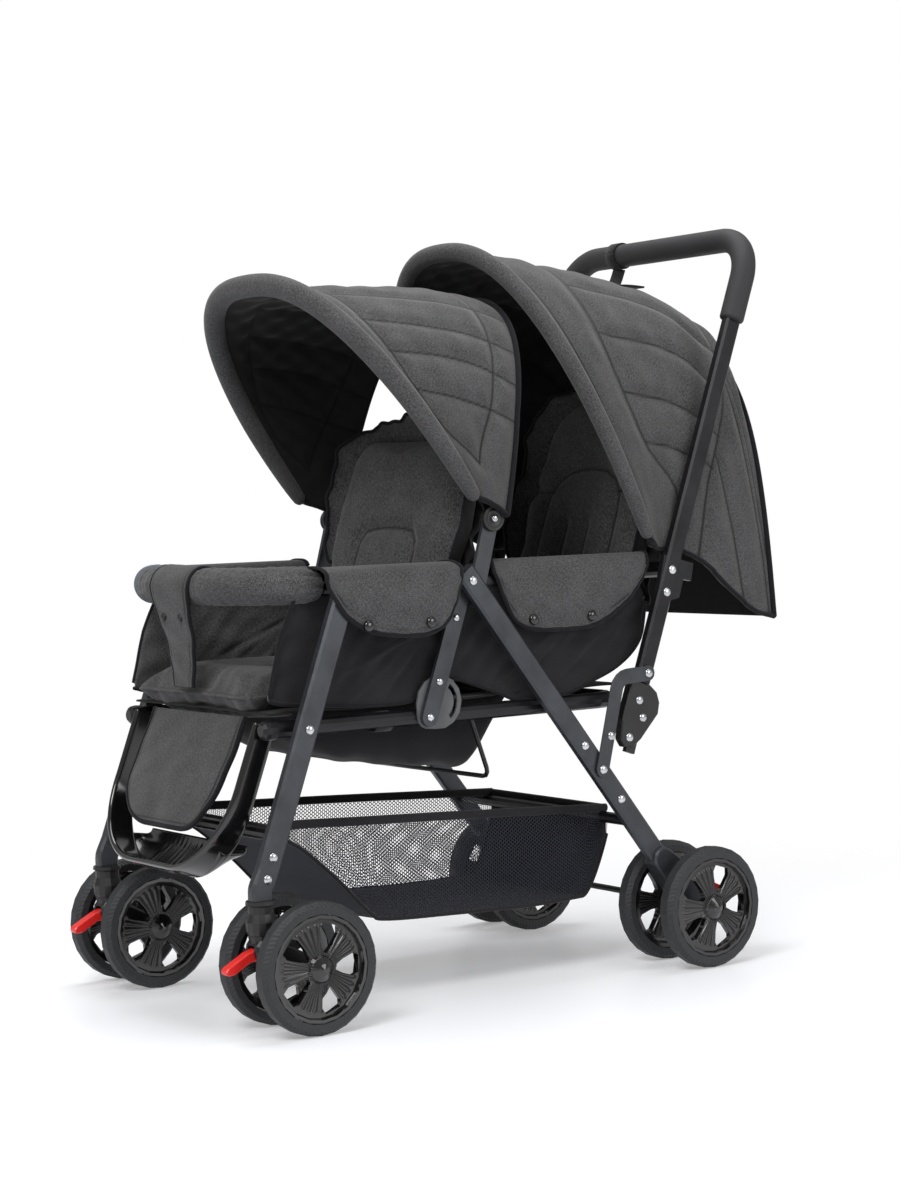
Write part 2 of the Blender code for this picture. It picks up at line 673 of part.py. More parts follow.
def rim_mesh(bored_through):
    """A moulded rim facing +X: a barrel, a dished disc with five windows between flared spokes, and a hub.

    The hub is open at both ends, or its outer end is a dome over a blind bore."""
    inner, outer = -0.0115, 0.0115
    profile = [(-0.0130, AXLE_BORE), (-0.0130, 0.0110), (0.0015, 0.0130), (0.0005, 0.0590), (inner, 0.0615)]
    profile += [(inner, 0.0665), (outer, 0.0665), (outer, 0.0625), (0.0065, 0.0605), (0.0100, 0.0180)]
    if bored_through:
        profile += [(0.0135, 0.0150), (0.0180, 0.0090), (0.0180, AXLE_BORE)]
    else:
        profile = [(0.0115, AXLE_BORE)] + profile + [(0.0135, 0.0150), (0.0180, 0.0075), (0.0195, 0.0020)]
    rim = turned(profile, (0, 0, 0), (1, 0, 0), 20, closed=bored_through)
    windows = []
    for window in range(5):
        middle = math.radians(72 * window + 36)
        outline = []
        for sign in (1, -1):
            edge = [(0.0210, 7), (0.0330, 15), (0.0490, 16), (0.0570, 11)]
            for radius, degrees in edge if sign > 0 else edge[::-1]:
                turn = middle + sign * math.radians(degrees)
                outline.append((-radius * math.cos(turn), radius * math.sin(turn)))
        windows.append(plate(outline, -0.020, 0.030))
    cut(rim, *windows)
    return rim


def tyre_mesh():
    half = WHEEL_WIDTH / 2
    profile = [(-half + 0.001, 0.0673), (half - 0.001, 0.0673), (half, 0.0770), (0.0070, WHEEL_RADIUS)]
    profile += [(-0.0070, WHEEL_RADIUS), (-half, 0.0770)]
    return turned(profile, (0, 0, 0), (1, 0, 0), 28, closed=True)


def wheels():
    """The eight wheels. The rear axle runs right through the inner rear wheels, so their rims are bored through."""
    shared = {"blind": rim_mesh(False), "bored": rim_mesh(True), "tyre": tyre_mesh()}
    shared["blind_facing_in"] = mirrored(shared["blind"], "blind_facing_in")
    shared["bored_facing_in"] = mirrored(shared["bored"], "bored_facing_in")
    for row in ("front", "rear"):
        for side, sign in (("left", 1), ("right", -1)):
            for where, out in (("outer", 1), ("inner", -1)):
                body = f"{row}_wheel_{side}_{where}"
                kind = "bored" if (row, where) == ("rear", "inner") else "blind"
                rim = shared[kind] if sign * out > 0 else shared[f"{kind}_facing_in"]
                for source, part, finish in ((rim, "rim", "gloss_plastic"), (shared["tyre"], "tyre", "tyre")):
                    made = bpy.data.objects.new(part, source.data.copy())
                    bpy.context.scene.collection.objects.link(made)
                    for corner in made.data.vertices:
                        corner.co += Vector(BODIES[body][0])
                    place(made, f"{row}_{part}_{side}_{where}", body, finish)
    for source in shared.values():
        bpy.data.objects.remove(source, do_unlink=True)


# Uprights, armrests and bumper bar


def uprights():
    """The flat bar from each rail to the armrest, and the canopy post that it ends in."""
    bar = plate(hull([(*UPRIGHT_ON_RAIL, 0.0120), (*UPRIGHT_ON_ARM, 0.0120)]), UPRIGHT_INNER_X, UPRIGHT_OUTER_X)
    post = plate(hull([(-0.0210, 0.5180, 0.0115), (*CANOPY_ON_UPRIGHT, 0.0115)]), UPRIGHT_INNER_X, UPRIGHT_OUTER_X)
    fuse(bar, post)
    cut(bar, pin(0.180, 0.200, UPRIGHT_ON_ARM, PIN_RADIUS + PIN_PLAY))
    disc = [(-0.002, 0.0160), (0.0035, 0.0160), (0.0035, 0.0110), (0.0056, 0.0100)]
    fuse(bar, turned(disc, (UPRIGHT_OUTER_X, *CANOPY_ON_UPRIGHT), (1, 0, 0), 16))
    fuse(bar, pin(0.1640, UPRIGHT_INNER_X + 0.001, UPRIGHT_ON_RAIL, PIN_RADIUS))
    for centre in (UPRIGHT_ON_RAIL, (-0.0820, 0.4150), (-0.0529, 0.4959)):
        fuse(bar, rivet(UPRIGHT_OUTER_X, centre, 0.0045))
    place_pair(bar, "upright", "uprights", "leg_metal")


def armrest_tubes():
    front, rear = LEG_ON_ARM[0] - 0.0165, HANDLE_ON_ARM[0] + 0.0125
    tube = swept([(ARM_X, front, ARM_Z), (ARM_X, rear, ARM_Z)], circle(ARM_RADIUS, 12), (0, 0, 1))
    for pivot in (LEG_ON_ARM, UPRIGHT_ON_ARM, HANDLE_ON_ARM):
        cut(tube, pin(0.150, 0.200, pivot, PIN_RADIUS + PIN_PLAY))
    cut(tube, turned([(-0.010, 0.0062), (0.0100, 0.0062)], (ARM_X, front, ARM_Z), (0, 1, 0), 8))
    place_pair(tube, "armrest_tube", "armrests", "black_metal")


def cover_section(outer_x, drop_z, flap_inner):
    """A cover's section as (x, z): the outer flap, the padded top over the tube and a short inner flap."""
    top = ARM_Z + ARM_RADIUS + GAP
    narrow = flap_inner < LEG_INNER_X
    return [
        (outer_x, drop_z),
        (outer_x, ARM_Z + 0.0120),
        (outer_x - 0.0060, ARM_Z + 0.0240),
        (ARM_X - 0.0080, ARM_Z + 0.0240),
        (ARM_X - 0.0150, ARM_Z + 0.0130),
        (ARM_X - 0.0150, ARM_Z - 0.0060),
        (ARM_X - 0.0118, ARM_Z - 0.0060),
        (ARM_X - 0.0118, ARM_Z + 0.0055),
        (ARM_X - 0.0060, top),
        (ARM_X + 0.0060, top),
        (ARM_X + (0.0090 if narrow else 0.0205), ARM_Z + (0.0084 if narrow else 0.0178)),
        (flap_inner, ARM_Z + (0.0055 if narrow else 0.0178)),
        (flap_inner, drop_z),
    ]


def armrest_covers():
    """Padded cover over each armrest: a front and a rear flap, with a narrow strip between them past the upright."""
    stations = []
    front_flap = [(-0.2440, 0.532), (-0.2390, 0.516), (-0.2200, 0.492), (-0.1900, 0.479), (-0.1000, 0.479)]
    front_flap += [(-0.0800, 0.487), (-0.0640, 0.508), (-0.0590, 0.528)]
    for y, drop in front_flap:
        stations.append((y, cover_section(0.2145, drop, 0.2118)))
    strip = cover_section(0.1868, ARM_Z + 0.0065, ARM_X + 0.0118)
    stations += [(-0.0575, strip), (-0.0035, strip)]
    rear_flap = [(-0.0025, 0.530), (0.0080, 0.507), (0.0350, 0.482), (0.0700, 0.475), (0.1750, 0.475)]
    rear_flap += [(0.2150, 0.487), (0.2480, 0.512), (0.2700, 0.540)]
    for y, drop in rear_flap:
        stations.append((y, cover_section(0.1882, drop, 0.1857)))
    points = [(x, y, z) for y, section in stations for x, z in section]
    cover = solid("cover", points, ring_faces(len(stations), 13))
    place_pair(cover, "armrest_cover", "armrests", "grey_fabric")


def bumper_path(count=17):
    """The padded bar's bow, from the left armrest round the front to the right one."""
    half, back, depth, z = ARM_X, LEG_ON_ARM[0] - 0.0195, 0.1020, ARM_Z + 0.004
    path = []
    for step in range(count):
        turn = math.pi * step / (count - 1)
        x = math.copysign(half * abs(math.cos(turn)) ** 0.72, math.cos(turn))
        rise = abs(math.sin(turn)) ** 0.80 if 0 < step < count - 1 else 0
        path.append(Vector((x, back - depth * rise, z)))
    return path


def bumper():
    path = bumper_path()
    scales = [0.62, 0.86] + [1.0] * (len(path) - 4) + [0.86, 0.62]
    bar = swept(path, circle(0.0235, 10), (0, 0, 1), scales)
    for sign in (1, -1):
        start = (sign * ARM_X, LEG_ON_ARM[0] - 0.0240, ARM_Z)
        fuse(bar, turned([(0, 0.0056), (0.0160, 0.0056)], start, (0, 1, 0), 8))
    place(bar, "bumper_bar", "bumper", "grey_fabric")
    middle_y, middle_z = path[len(path) // 2].y, path[0].z
    outer, inner = [], []
    for step in range(10):
        turn = math.radians(-50 + 230 * step / 9)
        for ring, radius in ((outer, 0.0284), (inner, 0.0254)):
            ring.append((middle_y + radius * math.cos(turn), middle_z + radius * math.sin(turn)))
    foot_y = middle_y - 0.0070
    outline = outer + [(foot_y - 0.003, 0.4400), (foot_y, 0.4400)] + inner[::-1]
    strap = plate(outline, -0.036, 0.036)
    for corner in strap.data.vertices:
        shrink = 1 - 0.38 * max(0, (middle_z - corner.co.z) / (middle_z - 0.44))
        corner.co.x *= shrink
    place(strap, "crotch_strap", "bumper", "grey_fabric")


# Rear legs, axle and brakes


def rear_legs():
    middle_x = (LEG_INNER_X + LEG_OUTER_X) / 2
    top = rear_leg_point(UPRIGHT_ON_ARM[1] + 0.013)
    low = rear_leg_point(WHEEL_RADIUS + 0.005)
    path = [(middle_x, *top), (middle_x, *low)]
    leg = swept(path, rounded_rectangle(0.028, LEG_OUTER_X - LEG_INNER_X, 0.003), (1, 0, 0))
    fuse(leg, pin(0.1640, LEG_INNER_X + 0.001, UPRIGHT_ON_ARM, PIN_RADIUS))
    shoe = hull([(REAR_AXLE_Y, WHEEL_RADIUS, 0.0170), (*rear_leg_point(0.150), 0.0165), (*BRAKE_PIVOT, 0.0070)])
    foot = plate(shoe, TRACK_X - 0.0140, TRACK_X + 0.0140)
    soften(foot, 0.0025)
    fuse(leg, foot)
    slot_low = (TRACK_X - 0.0086, BRAKE_PIVOT[0] - 0.0115, 0.060)
    cut(leg, block(slot_low, (TRACK_X + 0.0086, BRAKE_PIVOT[0] + 0.030, 0.130)))
    fuse(leg, pin(TRACK_X - 0.0120, TRACK_X + 0.0120, BRAKE_PIVOT, 0.0025))
    cut(leg, pin(0.170, 0.240, (REAR_AXLE_Y, WHEEL_RADIUS), 0.0049, 10))
    cut(leg, pin(0.190, 0.230, LINK_ON_LEG, PIN_RADIUS + PIN_PLAY))
    heads = (UPRIGHT_ON_ARM, rear_leg_point(0.3150), rear_leg_point(0.2380))
    for centre in heads:
        fuse(leg, rivet(LEG_OUTER_X, centre))
    place_pair(leg, "rear_leg", "rear_legs", "leg_metal")
    bar = swept([(-0.1957, 0, 0), (0.1957, 0, 0)], circle(0.0080, 10), (0, 0, 1))
    for corner in bar.data.vertices:
        corner.co += Vector((0, *rear_leg_point(0.2050)))
    place(bar, "rear_crossbar", "rear_legs", "black_metal")
    reach = TRACK_X + TWIN_X + 0.0110
    place(pin(-reach, reach, (REAR_AXLE_Y, WHEEL_RADIUS), AXLE_RADIUS), "rear_axle", "rear_legs", "leg_metal")
    y, z = BRAKE_PIVOT
    lever = [(y - 0.008, z - 0.004), (y - 0.006, z + 0.006), (y + 0.004, z + 0.0075), (y + 0.030, z - 0.004)]
    lever += [(y + 0.041, z - 0.012), (y + 0.041, z - 0.018), (y + 0.028, z - 0.015), (y + 0.004, z - 0.009)]
    pedal = plate(lever, TRACK_X - 0.0080, TRACK_X + 0.0080)
    soften(pedal, 0.0012)
    cut(pedal, pin(TRACK_X - 0.020, TRACK_X + 0.020, BRAKE_PIVOT, 0.0030))
    place_pair(pedal, "brake_pedal", "brake_{side}", "red_plastic")


# Handle, knee locks and links


def handle():
    foot_z = 0.3925
    tube_path = [
        (TRACK_X, *handle_point(foot_z)),
        (TRACK_X, *handle_point(HANDLE_TOP_Z)),
        (-TRACK_X, *handle_point(HANDLE_TOP_Z)),
        (-TRACK_X, *handle_point(foot_z)),
    ]
    along = Vector((0, HANDLE_LEAN, 1)).normalized()
    plane = Vector((1, 0, 0)).cross(along)
    path = filleted(tube_path, 0.062, 6)
    tube = swept(path, rounded_rectangle(0.0150, 0.0250, 0.003), plane)
    bracket = [(0.2880, 0.5640), (0.3390, 0.5500), (0.3340, 0.5260), (0.3200, 0.5290), (0.3120, 0.5040), (0.2700, 0.4960)]
    fuse(tube, plate(bracket, 0.1995, 0.2075))
    fuse(tube, plate(bracket, -0.2075, -0.1995))
    for sign in (1, -1):
        low, high = sorted((sign * 0.1640, sign * 0.2000))
        fuse(tube, pin(low, high, HANDLE_ON_ARM, PIN_RADIUS))
        for centre in (HANDLE_ON_ARM, handle_point(0.5130)):
            head = rivet(LEG_OUTER_X, centre)
            if sign < 0:
                other = mirrored(head, "rivet")
                bpy.data.objects.remove(head, do_unlink=True)
                head = other
            fuse(tube, head)
    place(tube, "handle_tube", "handle", "black_metal")
    grip_path = [point for point in path if point.z > HANDLE_GRIP_Z]
    grip_path.insert(0, Vector((TRACK_X, *handle_point(HANDLE_GRIP_Z))))
    grip_path.append(Vector((-TRACK_X, *handle_point(HANDLE_GRIP_Z))))
    outer = [(0.0170 * math.cos(t), 0.0170 * math.sin(t)) for t in (math.pi / 4 * (k + 0.5) for k in range(8))]
    inner = rounded_rectangle(0.0150 + 2 * GAP, 0.0250 + 2 * GAP, 0.003)
    place(swept_sleeve(grip_path, outer, inner, plane), "handle_grip", "handle", "foam")


def knee_locks():
    """The latch housing under each side tube, where the handle locks when the stroller is open."""
    outline = [(0.2240, 0.3989), (0.2548, 0.3876), (0.2660, 0.3770), (0.2700, 0.3630), (0.2670, 0.3480)]
    outline += [(0.2360, 0.3160), (0.2230, 0.3070), (0.2080, 0.3070), (0.2010, 0.3180), (0.2040, 0.3450)]
    housing = plate(outline, LEG_INNER_X + 0.0005, LEG_OUTER_X)
    soften(housing, 0.0015)
    latch = plate([(0.2140, 0.3100), (0.2330, 0.3160), (0.2260, 0.2960), (0.2110, 0.3010)], 0.2000, 0.2070)
    fuse(housing, latch)
    for centre in ((0.2340, 0.3690), (0.2390, 0.3450), (0.2150, 0.3200)):
        fuse(housing, rivet(LEG_OUTER_X, centre, 0.0050))
    place_pair(housing, "knee_lock", "handle", "black_plastic")


def fold_links():
    """The hooked plate from each rear leg up to the handle's knee. Its knee end is the linkage's opened pivot."""
    bend = (LINK_ON_LEG[0] + 0.0310, 0.4020)
    middle = (LINK_INNER_X + LINK_OUTER_X) / 2
    corners = [(middle, *LINK_ON_LEG), (middle, *bend), (middle, *KNEE)]
    strip = swept(filleted(corners, 0.020, 4), rounded_rectangle(0.0210, LINK_OUTER_X - LINK_INNER_X, 0.0008), (1, 0, 0))
    for centre in (LINK_ON_LEG, KNEE):
        fuse(strip, plate(hull([(*centre, 0.0105)]), LINK_INNER_X, LINK_OUTER_X))
        fuse(strip, rivet(LINK_OUTER_X, centre))
    fuse(strip, rivet(LINK_OUTER_X, (LINK_ON_LEG[0] + 0.0150, 0.3250), 0.0050))
    fuse(strip, pin(0.1990, LINK_INNER_X + 0.001, LINK_ON_LEG, PIN_RADIUS))
    place_pair(strip, "fold_link", "links", "leg_metal")


# Seat backs


def seat_back(low, high, half, top_half, thickness, name, body):
    """A padded back: a round-topped board that leans from its hinge at low to its top at high, as (y, z)."""
    start, end = Vector((0, *low)), Vector((0, *high))
    up = (end - start).normalized()
    away = Vector((0, up.z, -up.y))
    length = (end - start).length
    radius = 0.050
    outline = [(half, 0.0), (top_half, length - radius)]
    for step in range(1, 5):
        turn = math.pi / 2 * step / 4
        outline.append((top_half - radius * (1 - math.cos(turn)), length - radius + radius * math.sin(turn)))
    outline += [(-x, height) for x, height in outline[::-1]]
    points = []
    for depth, shrink in ((0, 0.94), (0.25, 1), (0.75, 1), (1, 0.94)):
        for x, height in outline:
            middle = length / 2
            point = start + Vector((x * shrink, 0, 0)) + up * (middle + (height - middle) * shrink)
            points.append(point + away * thickness * (depth - 0.5))
    place(solid("back", points, ring_faces(4, len(outline))), name, body, "grey_fabric")


def seat_backs():
    seat_back((-0.066, 0.4150), (0.047, 0.7560), 0.152, 0.134, 0.036, "front_seat_back", "front_back")
    seat_back((0.2640, 0.4380), (0.3860, 0.7980), 0.152, 0.134, 0.036, "rear_seat_back", "rear_back")


# Canopies


def front_canopy():
    bows = [
        arch((-0.010, 0.6215), 54, 0.380, 0.2165, 0.2110, 2.6, 21),
        arch((-0.004, 0.6215), 62, 0.349, 0.2160, 0.2110, 2.6, 21),
        arch((0.004, 0.6215), 75, 0.320, 0.2140, 0.2080, 2.7, 21),
        arch((0.014, 0.6210), 90, 0.308, 0.2090, 0.2055, 2.8, 21),
        arch((0.024, 0.6205), 104, 0.306, 0.1950, 0.2050, 2.9, 21),
    ]
    cloth = sheet(bows, 0.0030)
    fuse(cloth, rolled_edge(bows[0], 0.0200, 0.0080))
    place(cloth, "front_canopy", "front_canopy_body", "grey_fabric")


def rear_canopy():
    """The rear hood. Its cloth runs back over the handle to a flat panel that hangs down behind the seat."""
    bows = [
        arch((0.262, 0.582), 65, 0.439, 0.2090, 0.2080, 2.5, 21),
        arch((0.272, 0.574), 71, 0.428, 0.2070, 0.2050, 2.5, 21),
        arch((0.290, 0.565), 82, 0.405, 0.1990, 0.1920, 2.6, 21),
        arch((0.325, 0.563), 91, 0.383, 0.1930, 0.1920, 2.8, 21),
        arch((0.375, 0.541), 90, 0.396, 0.1920, 0.1920, 2.9, 21),
        arch((0.420, 0.505), 89, 0.415, 0.1900, 0.1910, 3.0, 21),
        arch((0.465, 0.475), 89, 0.422, 0.1870, 0.1890, 3.2, 21),
        arch((0.503, 0.464), 86, 0.395, 0.1850, 0.1870, 3.2, 21),
    ]
    cloth = sheet(bows, 0.0030)
    fuse(cloth, rolled_edge(bows[0], 0.0200, 0.0080))
    panel = arch((0.5015, 0.4642), 86, 0.3930, 0.1835, 0.1855, 3.2, 21)
    inward = Vector((0, -0.0025, 0))
    fuse(cloth, solid("panel", panel + [point + inward for point in panel], ring_faces(2, len(panel))))
    place(cloth, "rear_canopy", "rear_canopy_body", "grey_fabric")


clear_scene()
add_bodies()
seat_frame_tube()
footwell_hoop()
seat_cushions()
seat_tub()
basket()
footrest()
calf_flap()
lock_quadrants()
front_legs()
caster_sockets()
caster_forks()
wheels()
uprights()
armrest_tubes()
armrest_covers()
bumper()
rear_legs()
handle()
knee_locks()
fold_links()
seat_backs()
front_canopy()
rear_canopy()
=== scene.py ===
import json
import math

import bmesh
import bpy
import numpy as np
from mathutils import Matrix, Vector
from mathutils.bvhtree import BVHTree


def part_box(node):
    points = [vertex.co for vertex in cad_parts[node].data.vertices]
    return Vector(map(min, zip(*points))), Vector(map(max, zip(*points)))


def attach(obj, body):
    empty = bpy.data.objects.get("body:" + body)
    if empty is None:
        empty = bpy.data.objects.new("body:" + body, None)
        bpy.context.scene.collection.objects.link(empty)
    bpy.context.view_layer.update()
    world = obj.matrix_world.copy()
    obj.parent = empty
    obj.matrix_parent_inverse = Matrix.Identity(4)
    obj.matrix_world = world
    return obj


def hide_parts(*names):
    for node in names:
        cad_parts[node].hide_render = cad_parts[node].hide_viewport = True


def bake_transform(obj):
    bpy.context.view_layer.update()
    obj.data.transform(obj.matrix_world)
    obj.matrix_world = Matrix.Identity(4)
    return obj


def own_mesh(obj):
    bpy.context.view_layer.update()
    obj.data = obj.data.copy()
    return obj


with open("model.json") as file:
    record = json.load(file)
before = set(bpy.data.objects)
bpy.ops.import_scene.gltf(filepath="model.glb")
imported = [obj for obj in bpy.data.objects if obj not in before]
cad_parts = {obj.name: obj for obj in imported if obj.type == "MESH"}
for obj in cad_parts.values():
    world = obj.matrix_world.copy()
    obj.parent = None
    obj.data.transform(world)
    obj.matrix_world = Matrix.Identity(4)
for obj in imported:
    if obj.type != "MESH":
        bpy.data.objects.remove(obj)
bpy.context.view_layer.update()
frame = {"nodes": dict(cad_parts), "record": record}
nodes = frame["nodes"]
print("frame loaded:", len(nodes), "nodes")

# The pieces are drawn as part.py draws them, with Y = 0 midway between the axles. This shift puts them in the frame.
shiftY = -0.0420


# Quads of a grid of rows x cols points, row by row. A wrapped grid closes on itself along its columns.
def gridFaces(rows, cols, wrap=False):
    a, b = np.meshgrid(np.arange(rows - 1), np.arange(cols if wrap else cols - 1), indexing="ij")
    after = (b + 1) % cols
    return np.stack([a * cols + b, a * cols + after, (a + 1) * cols + after, (a + 1) * cols + b], -1).reshape(-1, 4)


# The same for a wrapped grid whose first and last rows are closed by one face each.
def closedFaces(rows, cols):
    ends = [tuple(range(cols)), tuple(range((rows - 1) * cols, rows * cols))]
    return [tuple(f) for f in gridFaces(rows, cols, wrap=True)] + ends


# exp(-(distance / wide)^2): 1 on a line, and 0 well away from it.
def bell(distance, wide):
    return np.exp(-((distance / wide) ** 2))


# Distance along each line of points, as whole arrays.
def runLength(points):
    steps = np.linalg.norm(np.diff(points, axis=0), axis=-1)
    return np.concatenate([np.zeros((1,) + steps.shape[1:]), np.cumsum(steps, axis=0)])


# Surface normal on a grid: the cross product of its two slopes, made one long.
def gridNormals(grid):
    normal = np.cross(np.gradient(grid, axis=1), np.gradient(grid, axis=0))
    return normal / np.maximum(np.linalg.norm(normal, axis=-1, keepdims=True), 1e-9)


# Cubic Hermite spans through the points p, with slopes m from the neighbours, read at the wanted places (0 is the first):
# (2s^3 - 3s^2 + 1) p0 + (s^3 - 2s^2 + s) m0 + (3s^2 - 2s^3) p1 + (s^3 - s^2) m1.
def hermite(points, wanted):
    slope = np.gradient(points, axis=0)
    span = np.clip(wanted.astype(int), 0, len(points) - 2)
    s = (wanted - span)[:, None]
    near = (2 * s**3 - 3 * s**2 + 1) * points[span] + (s**3 - 2 * s**2 + s) * slope[span]
    return near + (3 * s**2 - 2 * s**3) * points[span + 1] + (s**3 - s**2) * slope[span + 1]


# A smooth curve through the points, read at even steps.
def smoothPath(points, count):
    points = np.asarray(points, float)
    return evenSteps(hermite(points, np.linspace(0, len(points) - 1, 40 * len(points))), count)


def evenSteps(line, count):
    along = runLength(line)
    wanted = np.linspace(0, along[-1], count)
    return np.stack([np.interp(wanted, along, line[:, k]) for k in range(line.shape[1])], -1)


def makeObject(name, points, faces, materials, uv=None, faceMaterial=None, attributes=None, merge=1e-6):
    mesh = bpy.data.meshes.new(name)
    points = np.asarray(points, float).reshape(-1, 3) + (0, shiftY, 0)
    mesh.from_pydata(points.tolist(), [], [list(f) for f in faces])
    if uv is not None:
        layer = mesh.uv_layers.new(name="UVMap")
        layer.data.foreach_set("uv", np.asarray(uv, np.float32).ravel())
    for key, values in (attributes or {}).items():
        mesh.attributes.new(key, "FLOAT", "POINT").data.foreach_set("value", np.asarray(values, np.float32).ravel())
    for material in materials if isinstance(materials, (list, tuple)) else [materials]:
        mesh.materials.append(material)
    if faceMaterial is not None:
        mesh.polygons.foreach_set("material_index", np.asarray(faceMaterial, np.int32))
    work = bmesh.new()
    work.from_mesh(mesh)
    bmesh.ops.remove_doubles(work, verts=work.verts, dist=merge)
    bmesh.ops.dissolve_degenerate(work, edges=work.edges, dist=1e-8)
    bmesh.ops.recalc_face_normals(work, faces=work.faces)
    work.to_mesh(mesh)
    work.free()
    mesh.shade_smooth()
    obj = bpy.data.objects.new(name, mesh)
    bpy.context.scene.collection.objects.link(obj)
    return obj


# UV corners in metres for a grid: lengths along the rows and along the columns.
def gridUv(rows, cols, alongRows, alongCols, wrap=False):
    a, b = np.meshgrid(np.arange(rows - 1), np.arange(cols if wrap else cols - 1), indexing="ij")
    u = np.stack([alongCols[b], alongCols[b + 1], alongCols[b + 1], alongCols[b]], -1)
    v = np.stack([alongRows[a], alongRows[a], alongRows[a + 1], alongRows[a + 1]], -1)
    return np.stack([u, v], -1).reshape(-1, 2)


# A closed shell: an outer grid, an inner grid a little inside it, and a strip of faces round the edge.
def shell(name, outer, inner, materials, attributes=None):
    rows, cols = outer.shape[:2]
    faces = gridFaces(rows, cols)
    border = np.concatenate([
        np.arange(cols), np.arange(1, rows) * cols + cols - 1,
        (rows - 1) * cols + np.arange(cols - 2, -1, -1), np.arange(rows - 2, 0, -1) * cols,
    ])
    after = np.roll(border, -1)
    half = rows * cols
    strip = np.stack([border, after, half + after, half + border], -1)
    allFaces = np.concatenate([faces, half + faces[:, ::-1], strip])
    alongRows = runLength(outer[:, cols // 2])
    alongCols = runLength(outer[rows // 2])
    uv = gridUv(rows, cols, alongRows, alongCols)
    uvInner = uv.reshape(-1, 4, 2)[:, ::-1].reshape(-1, 2)
    uvStrip = np.zeros((len(strip) * 4, 2))
    kinds = np.concatenate([np.zeros(len(faces)), np.ones(len(faces)), np.ones(len(strip))]).astype(int)
    attributes = {k: np.concatenate([v.ravel(), v.ravel()]) for k, v in (attributes or {}).items()}
    points = np.concatenate([outer.reshape(-1, 3), inner.reshape(-1, 3)])
    return makeObject(name, points, allFaces, materials, np.concatenate([uv, uvInner, uvStrip]), kinds, attributes)


# Side and up directions along a path, turned as little as possible from one point to the next.
def pathFrames(path, up):
    tangent = np.gradient(path, axis=0)
    tangent /= np.maximum(np.linalg.norm(tangent, axis=1, keepdims=True), 1e-12)
    side = np.zeros_like(path)
    last = np.cross(tangent[0], np.asarray(up, float))
    for i, t in enumerate(tangent):
        last = last - t * (last @ t)
        last = last / np.linalg.norm(last)
        side[i] = last
    return tangent, side, np.cross(side, tangent)


# A profile carried along a path: point = path + side * a * w + up * b * h, with both ends closed by round caps.
def tube(name, path, width, height, material, up=(0, 0, 1), sides=16, cap=0.6, profile=None):
    path = np.asarray(path, float)
    count = len(path)
    width = np.broadcast_to(np.asarray(width, float), (count,)).copy()
    height = np.broadcast_to(np.asarray(height, float), (count,)).copy()
    tangent, side, rise = pathFrames(path, up)
    if cap:
        shrink = np.array([0.0, 0.45, 0.8])
        rise0 = np.sqrt(1 - shrink**2)[:, None] * min(width[0], height[0]) * cap
        rise1 = np.sqrt(1 - shrink[::-1] ** 2)[:, None] * min(width[-1], height[-1]) * cap
        path = np.concatenate([path[0] - tangent[0] * rise0, path, path[-1] + tangent[-1] * rise1])
        width = np.concatenate([width[0] * shrink, width, width[-1] * shrink[::-1]])
        height = np.concatenate([height[0] * shrink, height, height[-1] * shrink[::-1]])
        side = np.concatenate([np.repeat(side[:1], 3, 0), side, np.repeat(side[-1:], 3, 0)])
        rise = np.concatenate([np.repeat(rise[:1], 3, 0), rise, np.repeat(rise[-1:], 3, 0)])
    if profile is None:
        turn = np.arange(sides) * 2 * math.pi / sides
        profile = np.stack([np.cos(turn), np.sin(turn)], -1)
    profile = np.asarray(profile, float)
    grid = path[:, None] + side[:, None] * (profile[:, 0] * width[:, None])[..., None]
    grid = grid + rise[:, None] * (profile[:, 1] * height[:, None])[..., None]
    rows, cols = grid.shape[:2]
    around = runLength(np.concatenate([profile, profile[:1]]) * (width.max(), height.max()))
    uv = gridUv(rows, cols, runLength(path), around, wrap=True)
    if cap:
        return makeObject(name, grid, gridFaces(rows, cols, wrap=True), material, uv)
    return makeObject(name, grid, closedFaces(rows, cols), material, np.concatenate([uv, np.zeros((2 * cols, 2))]))


webbingThick = 0.0022


# A flat band of webbing along a path: a rounded rectangle profile.
def band(name, path, width, up):
    profile = [(1, -0.4), (1, 0.4), (0.93, 1), (-0.93, 1), (-1, 0.4), (-1, -0.4), (-0.93, -1), (0.93, -1)]
    return tube(name, path, width / 2, webbingThick / 2, webbing, up, cap=0, profile=profile)


def joined(name, objects):
    bpy.ops.object.select_all(action="DESELECT")
    for obj in objects:
        obj.select_set(True)
    bpy.context.view_layer.objects.active = objects[0]
    bpy.ops.object.join()
    objects[0].name = name
    objects[0].data.name = name
    return objects[0]


def finishPiece(obj, body, replaces=()):
    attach(obj, body)
    if replaces:
        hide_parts(*replaces)
    return obj


# A cord of black binding along a line, as a piece of its own.
def addTrim(name, line, width, height, body, up=(1, 0, 0), sides=10):
    cord = tube(name, line, width, height, bindingCloth, up=up, sides=sides, cap=0.5)
    return finishPiece(cord, body)


# Fills sockets in order, each by a link where its value is a socket, or else by the plain value.
def feed(tree, sockets, values):
    for socket, value in zip(sockets, values):
        if isinstance(value, bpy.types.NodeSocket):
            tree.links.new(value, socket)
        else:
            socket.default_value = value


def addNode(tree, kind, settings=None, **inputs):
    node = tree.nodes.new(kind)
    for key, value in (settings or {}).items():
        setattr(node, key, value)
    feed(tree, [node.inputs[key.replace("_", " ")] for key in inputs], inputs.values())
    return node


def mathNode(tree, operation, *values):
    node = addNode(tree, "ShaderNodeMath", {"operation": operation})
    feed(tree, node.inputs, values)
    return node.outputs[0]


def newMaterial(name):
    material = bpy.data.materials.new(name)
    material.use_nodes = True
    return material, material.node_tree, material.node_tree.nodes["Principled BSDF"]


